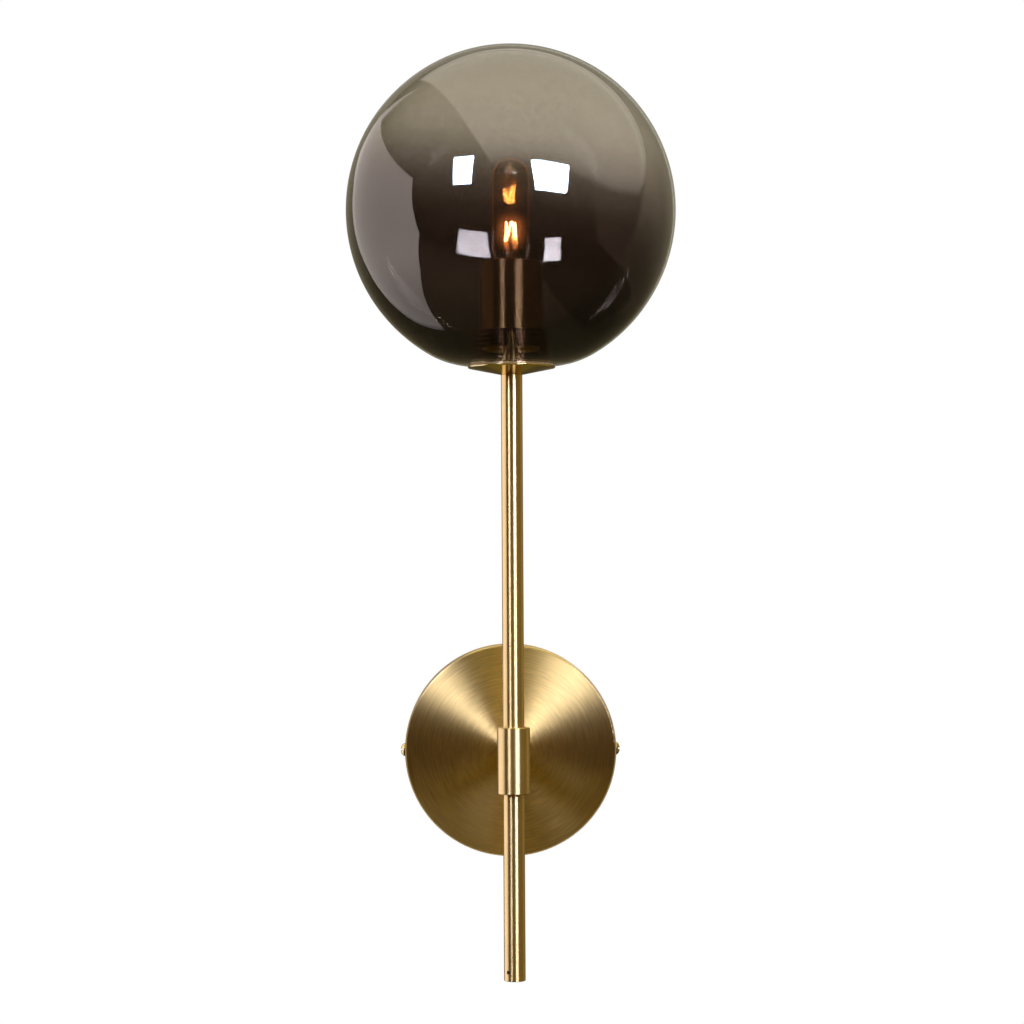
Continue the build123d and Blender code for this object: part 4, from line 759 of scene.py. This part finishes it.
@dataclass
class Globe(SubAssembly):
    """The blown globe, made here as a fine shell with its smoke on the inner side."""

    body: str = "globe"
    segments: int = 192
    rings: int = 128
    skin: float = 0.0003
    inset: float = 0.0006
    uneven: tuple[float, float, float] = (-0.0006, 0.0, -0.0006)
    wave: float = 0.0003
    foot_radius: float = 0.050
    foot_steps: int = 16
    neck_play: float = 0.0001

    def outline(self, radius: float, hole: float) -> list[tuple[float, float]]:
        """Half outline of the sphere with its flattened foot.

        Args:
            radius: Radius of the sphere.
            hole: Radius of the hole at the foot.

        Returns:
            Points (radius, height) from the hole to the crown.
        """
        low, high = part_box("globe_glass")
        leave = math.asin(self.foot_radius / ((high.x - low.x) / 2))
        start = (radius * math.sin(leave), GLOBE_CENTRE.z - radius * math.cos(leave))
        bend = (start[0] - hole) / math.sin(leave)
        level = start[1] - bend * (1 - math.cos(leave))
        points = []
        for index in range(self.foot_steps):
            angle = leave * index / self.foot_steps
            points.append((hole + bend * math.sin(angle), level + bend * (1 - math.cos(angle))))
        for index in range(self.rings + 1):
            angle = leave + (math.pi - leave) * index / self.rings
            points.append((radius * math.sin(angle), GLOBE_CENTRE.z - radius * math.cos(angle)))
        return points

    def build(self) -> bpy.types.Object:
        """Makes both shells as one mesh and puts it in the place of its node.

        Returns:
            The drawn globe.
        """
        low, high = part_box("globe_glass")
        radius = (high.x - low.x) / 2
        low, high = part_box("globe_neck_ring")
        hole = (high.x - low.x) / 2 + self.neck_play
        outer = self.outline(radius, hole)
        inner = self.outline(radius - self.skin - self.inset, hole)
        mesh = bpy.data.meshes.new("globe_shell")
        work = bmesh.new()
        outer_rings = [self.ring(work, r, z) for r, z in outer[:-1]]
        inner_rings = [self.ring(work, r, z) for r, z in inner[:-1]]
        outer_top = work.verts.new((ROD_AXIS.x, ROD_AXIS.y, outer[-1][1]))
        inner_top = work.verts.new((ROD_AXIS.x, ROD_AXIS.y, inner[-1][1]))
        for rings, top, slot, inward in ((outer_rings, outer_top, 0, False),
                                         (inner_rings, inner_top, 1, True)):
            for below, above in zip(rings, rings[1:]):
                self.band(work, below, above, slot, inward)
            count = self.segments
            for index in range(count):
                corners = [rings[-1][index], rings[-1][(index + 1) % count], top]
                face = work.faces.new(corners[::-1] if inward else corners)
                face.material_index = slot
        self.band(work, inner_rings[0], outer_rings[0], 0, False)
        for face in work.faces:
            face.smooth = True
        self.blow(work, [v for ring in outer_rings for v in ring] + [outer_top], Vector())
        self.blow(work, [v for ring in inner_rings for v in ring] + [inner_top],
                  Vector(self.uneven))
        work.to_mesh(mesh)
        work.free()
        shell = bpy.data.objects.new("globe_shell", mesh)
        bpy.context.scene.collection.objects.link(shell)
        mesh.materials.append(GLOBE_OUTSIDE.material())
        mesh.materials.append(GLOBE_COAT.material())
        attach(shell, self.body)
        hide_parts("globe_glass")
        log.info("globe: globe_shell, %d faces, radius %.4f m", len(mesh.polygons), radius)
        return shell

    def blow(self, work: bmesh.types.BMesh, points: list, shift: Vector) -> None:
        """Draws points inwards by a slow wave, as a blown globe is never quite round.

        Args:
            work: The mesh being made; not used.
            points: The vertices of one side of the wall.
            shift: Where the inner side's centre lies off the outer one's.
        """
        for point in points:
            out = (point.co - GLOBE_CENTRE).normalized()
            body = min(1.0, max(0.0, (out.z + 0.86) / 0.3))
            wave = (math.sin(3.1 * out.x + 1.7 * out.z + 0.6) * math.cos(2.3 * out.z - 1.9 * out.y)
                    + 0.5 * math.sin(5.2 * out.z + 2.1 * out.x * out.y + 1.1))
            point.co += body * (shift - out * self.wave * (1.0 + wave / 1.5))

    def ring(self, work: bmesh.types.BMesh, radius: float, height: float) -> list:
        """Adds one ring of points round the rod's axis.

        Args:
            work: The mesh being made.
            radius: Radius of the ring.
            height: Height of the ring.

        Returns:
            The ring's vertices.
        """
        step = 2 * math.pi / self.segments
        return [
            work.verts.new((ROD_AXIS.x + radius * math.cos(i * step),
                            ROD_AXIS.y + radius * math.sin(i * step), height))
            for i in range(self.segments)
        ]

    def band(self, work: bmesh.types.BMesh, below: list, above: list, slot: int,
             inward: bool) -> None:
        """Joins two rings with faces.

        Args:
            work: The mesh being made.
            below: The lower ring.
            above: The upper ring.
            slot: Material slot of the faces.
            inward: Whether the faces look towards the globe's centre.
        """
        count = len(below)
        for i in range(count):
            j = (i + 1) % count
            corners = [below[i], below[j], above[j], above[i]]
            face = work.faces.new(corners[::-1] if inward else corners)
            face.material_index = slot


def assemblies() -> list[SubAssembly]:
    """Lists the sub-assemblies with the finish of every CAD node.

    Returns:
        The sub-assemblies.
    """
    return [
        SubAssembly("wall", {
            "wall_bracket": ZINC, "bracket_earth_screw": PLAIN_BRASS,
            "bracket_earth_washer": PLAIN_BRASS, "side_screw_left": SCREW_BRASS,
            "side_screw_right": SCREW_BRASS,
        }),
        SubAssembly("rose", {
            "rose": ROSE_BRASS, "terminal_plate": ZINC, "terminal_block": WHITE_NYLON,
            "terminal_tubes": PLAIN_BRASS, "terminal_screws": ZINC, "block_screws": ZINC,
            "earth_tag": PLAIN_BRASS, "arm_nipple": ZINC, "arm_washer": ZINC, "arm_nut": ZINC,
            "nipple_end_cap": BLACK_PLASTIC, "live_wire": BROWN_PVC, "neutral_wire": BLUE_PVC,
            "earth_wire": EARTH_PVC,
        }),
        SubAssembly("arm", {
            "arm_tube": ARM_BRASS, "sleeve": SLEEVE_BRASS, "sleeve_set_screw": BLACKENED,
        }),
        SubAssembly("rod", {
            "rod": SATIN_BRASS, "rod_end_plug": SATIN_BRASS, "end_plug_screw": BLACKENED,
            "dish": DISH_BRASS, "globe_gasket": SILICONE, "globe_collar": NECK_BRASS,
            "live_wire_rise": BROWN_PVC, "neutral_wire_rise": BLUE_PVC,
            "live_wire_tail": BROWN_PVC, "neutral_wire_tail": BLUE_PVC,
        }),
        SubAssembly("holder", {
            "holder_nipple": ZINC, "holder_washer": ZINC, "holder_nut": ZINC,
            "holder_cup": CUP_BRASS, "holder_base": BLACK_PLASTIC,
            "holder_lock_screw": BLACKENED, "holder_insert": CERAMIC,
            "holder_terminals": PLAIN_BRASS, "holder_terminal_screws": ZINC,
            "holder_barrel": BLACK_PLASTIC, "screw_shell": NICKEL,
            "centre_contact": PLAIN_BRASS,
        }),
        Globe("globe", {"globe_glass": GLOBE_COAT, "globe_neck_ring": NECK_BRASS}),
        SubAssembly("bulb", {
            "bulb_glass": BULB_GLASS, "bulb_cap": NICKEL, "bulb_insulator": BLACK_GLASS,
            "bulb_contact": SOLDER, "bulb_stem": STEM_GLASS, "bulb_leads": LIT_WIRE,
            "bulb_anchors": LIT_WIRE, "bulb_filament": FILAMENT,
        }),
    ]


# ---- Studio ---------------------------------------------------
@dataclass(frozen=True)
class Softbox:
    """A rectangular lamp that faces a point."""

    name: str
    place: tuple[float, float, float]
    size: tuple[float, float]
    radiance: float
    target: tuple[float, float, float] = (0.0, -ARM_REACH, 0.15)
    glossy: bool = True

    def light(self) -> bpy.types.Object:
        """Makes the lamp; it isn't seen by the camera.

        Returns:
            The lamp.
        """
        data = bpy.data.lights.new(self.name, "AREA")
        data.shape = "RECTANGLE"
        data.size, data.size_y = self.size
        data.energy = self.radiance * math.pi * self.size[0] * self.size[1]
        lamp = bpy.data.objects.new(self.name, data)
        lamp.location = self.place
        aim = Vector(self.target) - Vector(self.place)
        lamp.rotation_euler = aim.to_track_quat("-Z", "Y").to_euler()
        lamp.visible_camera = False
        lamp.visible_glossy = self.glossy
        bpy.context.scene.collection.objects.link(lamp)
        log.info("lamp: %s at %s", self.name, self.place)
        return lamp


class Seen(Enum):
    """Which pieces a light area falls on."""

    ALL = "all"
    INNER = "globe and holder"
    BULB = "bulb glass"
    ROSE = "rose"
    LOW = "rose and dish"
    REST = "all but the globe, holder, bulb glass and rose"

    def nodes(self) -> list[bpy.types.Object]:
        """Lists the pieces that make up, or for the rest are left out of, the group.

        Returns:
            The pieces.
        """
        nodes = frame["nodes"]
        if self is Seen.LOW:
            return [nodes["rose"], nodes["dish"]]
        inner = [obj for name, obj in nodes.items() if name != "bulb_glass" and
                 name.startswith(("bulb_", "holder_", "globe_", "screw_", "centre_"))]
        inner += [obj for obj in bpy.data.objects if obj.name == "globe_shell"]
        groups = {Seen.INNER: inner, Seen.BULB: [nodes["bulb_glass"]], Seen.ROSE: [nodes["rose"]]}
        return groups.get(self, sum(groups.values(), []))

    def link(self, light: bpy.types.Object) -> None:
        """Makes a lamp or panel fall on this group alone.

        Args:
            light: The lamp or panel.
        """
        if self is Seen.ALL:
            return
        title = "seen_by_" + self.name.lower()
        group = bpy.data.collections.get(title)
        if group is None:
            group = bpy.data.collections.new(title)
            for obj in self.nodes():
                group.objects.link(obj)
            state = "EXCLUDE" if self is Seen.REST else "INCLUDE"
            for member in group.collection_objects:
                member.light_linking.link_state = state
        light.light_linking.receiver_collection = group


PANEL_STEP = 0.004
FADE_FRONT = (-3.4, -1.2)
FADE_RIGHT = (10.0, 1.5)


@dataclass(frozen=True)
class Panel:
    """A flat light area of the room, seen by metal and glass."""

    name: str
    corners: tuple[tuple[float, float, float], ...]
    radiance: float
    colour: Colour = (1.0, 1.0, 1.0)
    diffuse: bool = True
    seen: Seen = Seen.ALL
    fade: bool = False

    def build(self) -> bpy.types.Object:
        """Makes the panel; its corners are measured from the globe's centre.

        Panels of different groups stand a little apart and let each other's rays through.

        Returns:
            The panel.
        """
        mesh = bpy.data.meshes.new(self.name)
        apart = 1.0 + PANEL_STEP * list(Seen).index(self.seen)
        points = [tuple(GLOBE_CENTRE + Vector(corner) * apart) for corner in self.corners]
        mesh.from_pydata(points, [], [tuple(range(len(points)))])
        panel = bpy.data.objects.new(self.name, mesh)
        bpy.context.scene.collection.objects.link(panel)
        material = bpy.data.materials.new(self.name)
        material.use_nodes = True
        graph = Graph(material.node_tree)
        light = graph.add("Emission")
        light.inputs["Color"].default_value = (*self.colour, 1.0)
        light.inputs["Strength"].default_value = self.radiance
        if self.fade:
            x, y, _ = graph.split(graph.place())
            graph.put(light.inputs["Strength"], graph.math(
                "MULTIPLY", graph.smooth(y, *FADE_FRONT),
                graph.smooth(x, *FADE_RIGHT, 0.0, self.radiance)))
        both = graph.add("AddShader")
        graph.put(both.inputs[0], light.outputs[0])
        graph.put(both.inputs[1], graph.add("BsdfTransparent").outputs[0])
        graph.put(graph.add("OutputMaterial").inputs["Surface"], both.outputs[0])
        mesh.materials.append(material)
        panel.visible_camera = False
        panel.visible_shadow = False
        panel.visible_transmission = False
        panel.visible_diffuse = self.diffuse
        self.seen.link(panel)
        log.info("panel: %s, %d corners", self.name, len(points))
        return panel


def afar(distance: float, *ways: tuple[float, float]) -> tuple[tuple[float, float, float], ...]:
    """Places seen from the globe's centre.

    Args:
        distance: Metres from the globe's centre.
        ways: Degrees from -Y towards +X, and degrees above the horizon.

    Returns:
        The places, measured from the globe's centre.
    """
    places = []
    for azimuth, elevation in ways:
        a, e = math.radians(azimuth), math.radians(elevation)
        way = Vector((math.sin(a) * math.cos(e), -math.cos(a) * math.cos(e), math.sin(e)))
        places.append(tuple(way * distance))
    return tuple(places)


OVERHEAD: Colour = (1.0, 0.96, 0.88)
WINDOW_AWAY = 2.4
WINDOW_LEFT = afar(WINDOW_AWAY, (-42.0, 27.1), (-27.7, 28.6), (-27.4, 11.3), (-39.6, 11.1))
WINDOW_RIGHT = afar(WINDOW_AWAY, (14.2, 26.1), (40.6, 22.2), (36.8, 5.3), (16.0, 7.0))
HIGH_LEFT = afar(WINDOW_AWAY, (-42.0, 27.1), (-27.7, 28.6), (-27.5, 16.0), (-40.3, 16.0))
HIGH_RIGHT = afar(WINDOW_AWAY, (14.2, 26.1), (40.6, 22.2), (38.8, 14.0), (15.2, 15.5))
# Each row: the pieces it falls on, its colour, the left and right window's radiance, their shapes.
WINDOWS = (
    (Seen.INNER, (0.66, 0.90, 1.28), (85.0, 68.0), (WINDOW_LEFT, WINDOW_RIGHT)),
    (Seen.BULB, (0.66, 0.77, 1.0), (90.0, 90.0), (HIGH_LEFT, HIGH_RIGHT)),
    (Seen.REST, (0.68, 0.755, 1.70), (24.0, 28.0), (WINDOW_LEFT, WINDOW_RIGHT)),
    (Seen.ROSE, (0.68, 0.75, 1.88), (20.0, 9.2), (WINDOW_LEFT, WINDOW_RIGHT)),
)
LEFT_BOARD_X = -1.2
LEFT_BOARD = tuple((LEFT_BOARD_X, y, z) for y, z in (
    (-0.43, 0.35), (0.62, 0.76), (1.56, 1.09), (1.35, 1.9), (1.65, 1.5), (2.2, 1.2),
    (2.2, 0.8), (1.6, 0.4), (1.45, 0.05), (1.3, -0.3), (1.28, -0.8), (1.27, -1.3),
    (1.05, -2.04), (0.49, -1.46), (-0.2, -0.8), (-0.51, -0.34), (-0.45, 0.08)))
SHEET_LEFT = -0.68
SHEET_BACK = 1.3
SHEET_HEIGHT = 1.2


def overhead(right: float, front: float) -> tuple[tuple[float, float, float], ...]:
    """Places the corners of the white sheet over the lamp.

    Args:
        right: How far the sheet reaches to the right, from the globe's centre.
        front: How far it reaches towards the camera, a negative number.

    Returns:
        The four corners.
    """
    return ((SHEET_LEFT, front, SHEET_HEIGHT), (right, front, SHEET_HEIGHT),
            (right, SHEET_BACK, SHEET_HEIGHT), (SHEET_LEFT, SHEET_BACK, SHEET_HEIGHT))


ROOM_SHOWN: Colour = (1.0, 1.0, 1.0)  # to the camera and through glass
ROOM_SOFT: Colour = (0.52, 0.52, 0.52)  # as it lights matt pieces
ROOM_WALLS: Colour = (0.043, 0.026, 0.015)  # these three as they are mirrored
ROOM_FLOOR: Colour = (0.058, 0.038, 0.021)
ROOM_CEILING: Colour = (0.24, 0.225, 0.18)
BACKDROP_WAY = (0.302, 0.904, -0.300)
BACKDROP_STOPS = [
    (0.0, (0.030, 0.026, 0.012)), (0.35, (0.075, 0.064, 0.036)), (0.6, (0.20, 0.18, 0.13)),
    (1.0, (0.40, 0.37, 0.30)),
]


@dataclass(frozen=True)
class Studio:
    """Camera, lamps, pale floor and the room that metal and glass mirror."""

    camera_place: tuple[float, float, float] = (-0.031, -1.723, 0.112)
    yaw: float = 1.1
    pitch: float = 1.35
    roll: float = 0.31
    lens: float = 93.4
    sensor: float = 36.0
    floor_height: float = -0.32
    floor_radius: float = 4.0
    floor_corners: int = 96
    floor_centre: float = -0.1
    floor_fade: tuple[float, float] = (0.32, 0.72)
    lamps: tuple[Softbox, ...] = (
        Softbox("top_fill", (0.3, -1.2, 2.2), (2.0, 2.0), 0.5, glossy=False),
    )
    panels: tuple[Panel, ...] = (
        *(Panel(f"window_{number}_{seen.name.lower()}", corners, level, colour, False, seen)
          for seen, colour, levels, windows in WINDOWS
          for number, (level, corners) in enumerate(zip(levels, windows))),
        Panel("left_board", LEFT_BOARD, 0.90, (1.0, 0.93, 0.95), seen=Seen.INNER),
        Panel("left_board_brass", LEFT_BOARD, 1.22, (1.0, 1.01, 1.90), seen=Seen.REST),
        Panel("left_board_rose", LEFT_BOARD, 0.14, (1.0, 0.84, 0.20), False, Seen.ROSE),
        Panel("floor_warm", ((-3.0, -5.0, -1.4), (3.0, -5.0, -1.4), (3.0, 3.0, -1.4),
                             (-3.0, 3.0, -1.4)), 0.085, (1.0, 0.80, 0.06), False, Seen.LOW),
        Panel("right_board", ((1.3, -0.9, 0.7), (1.3, 1.2, 0.7), (1.3, 1.2, -1.4),
                              (1.3, -0.9, -1.4)), 0.13, (1.0, 0.82, 0.55), False, Seen.REST),
        Panel("overhead_sheet", overhead(14.0, -3.4), 0.75, OVERHEAD, seen=Seen.INNER, fade=True),
        Panel("overhead_sheet_brass", overhead(1.5, -1.9), 0.75, OVERHEAD, seen=Seen.REST),
        Panel("overhead_sheet_rose", overhead(1.5, -1.9), 0.75, OVERHEAD, seen=Seen.ROSE),
    )

    def build(self) -> None:
        """Sets up the whole studio."""
        scene = bpy.context.scene
        scene.view_settings.view_transform = "Standard"
        scene.cycles.transparent_max_bounces = 48
        scene.cycles.max_bounces = 16
        scene.cycles.glossy_bounces = 10
        scene.cycles.transmission_bounces = 10
        scene.cycles.use_denoising = True
        scene.cycles.blur_glossy = 0.0
        self.make_camera()
        self.make_floor()
        self.make_room()
        for lamp in self.lamps:
            lamp.light()
        for panel in self.panels:
            panel.build()

    def make_camera(self) -> None:
        """Puts the camera where the photograph was taken from."""
        data = bpy.data.cameras.new("camera")
        data.lens = self.lens
        data.sensor_width = self.sensor
        camera = bpy.data.objects.new("camera", data)
        camera.location = self.camera_place
        yaw, pitch = math.radians(self.yaw), math.radians(self.pitch)
        way = Vector((math.sin(yaw) * math.cos(pitch), math.cos(yaw) * math.cos(pitch),
                      math.sin(pitch)))
        turn = way.to_track_quat("-Z", "Y")
        camera.rotation_mode = "QUATERNION"
        roll = Quaternion((0.0, 0.0, 1.0), math.radians(-self.roll))
        camera.rotation_quaternion = turn @ roll
        bpy.context.scene.collection.objects.link(camera)
        bpy.context.scene.camera = camera

    def make_floor(self) -> None:
        """Makes a pale round floor that fades into the white surroundings."""
        mesh = bpy.data.meshes.new("floor")
        work = bmesh.new()
        bmesh.ops.create_circle(work, cap_ends=True, segments=self.floor_corners,
                                radius=self.floor_radius)
        bmesh.ops.translate(work, verts=work.verts,
                            vec=(0.0, self.floor_centre, self.floor_height))
        work.to_mesh(mesh)
        work.free()
        floor = bpy.data.objects.new("floor", mesh)
        bpy.context.scene.collection.objects.link(floor)
        material = bpy.data.materials.new("pale_floor")
        material.use_nodes = True
        graph = Graph(material.node_tree)
        x, y, _ = graph.split(graph.place())
        along = graph.math("ADD", y, -self.floor_centre)
        away = graph.vector("LENGTH", graph.join(x, along, 0.0)).outputs[1]
        fade = graph.smooth(away, *self.floor_fade)
        matt = graph.add("BsdfDiffuse")
        speckle = graph.smooth(graph.noise(graph.place(), 60.0, 4.0), 0.2, 0.8, 0.90, 0.94)
        graph.put(matt.inputs["Color"], graph.join(speckle, speckle, speckle))
        white = graph.add("Emission")
        share = graph.math("MULTIPLY", fade, graph.add("LightPath").outputs["Is Camera Ray"])
        output = graph.add("OutputMaterial")
        graph.put(output.inputs["Surface"],
                  graph.mix_shader(share, matt.outputs[0], white.outputs[0]))
        mesh.materials.append(material)
        floor.visible_glossy = False

    def make_room(self) -> None:
        """Makes the surroundings: white to the camera, a dim room to metal and glass."""
        world = bpy.data.worlds.new("room")
        bpy.context.scene.world = world
        world.use_nodes = True
        graph = Graph(world.node_tree)
        way = graph.vector("NORMALIZE", graph.add("TexCoord").outputs["Generated"]).outputs[0]
        _, _, z = graph.split(way)
        room = graph.blend(graph.smooth(z, -0.55, -0.75), ROOM_WALLS, ROOM_FLOOR)
        room = graph.blend(graph.smooth(z, 0.30, 0.85), room, ROOM_CEILING)
        behind = Vector(BACKDROP_WAY).normalized()
        towards = graph.vector("DOT_PRODUCT", way, tuple(behind)).outputs[1]
        backdrop = graph.smooth(towards, 0.44, 0.48)
        paper = graph.ramp(graph.smooth(z, -0.85, 0.75), BACKDROP_STOPS)
        mirrored = graph.blend(backdrop, room, paper)
        path = graph.add("LightPath")
        soft = graph.blend(path.outputs["Is Glossy Ray"], ROOM_SOFT, mirrored)
        clear = graph.math("MAXIMUM", path.outputs["Is Camera Ray"],
                           path.outputs["Is Transmission Ray"])
        shown = graph.blend(clear, soft, ROOM_SHOWN)
        back = graph.add("Background")
        graph.put(back.inputs["Color"], shown)
        output = graph.add("OutputWorld")
        graph.put(output.inputs["Surface"], back.outputs[0])
        world.cycles.sampling_method = "NONE"


def main() -> None:
    for part in assemblies():
        part.dress()
        if isinstance(part, Globe):
            part.build()
    Studio().build()


if __name__ == "__main__":
    main()
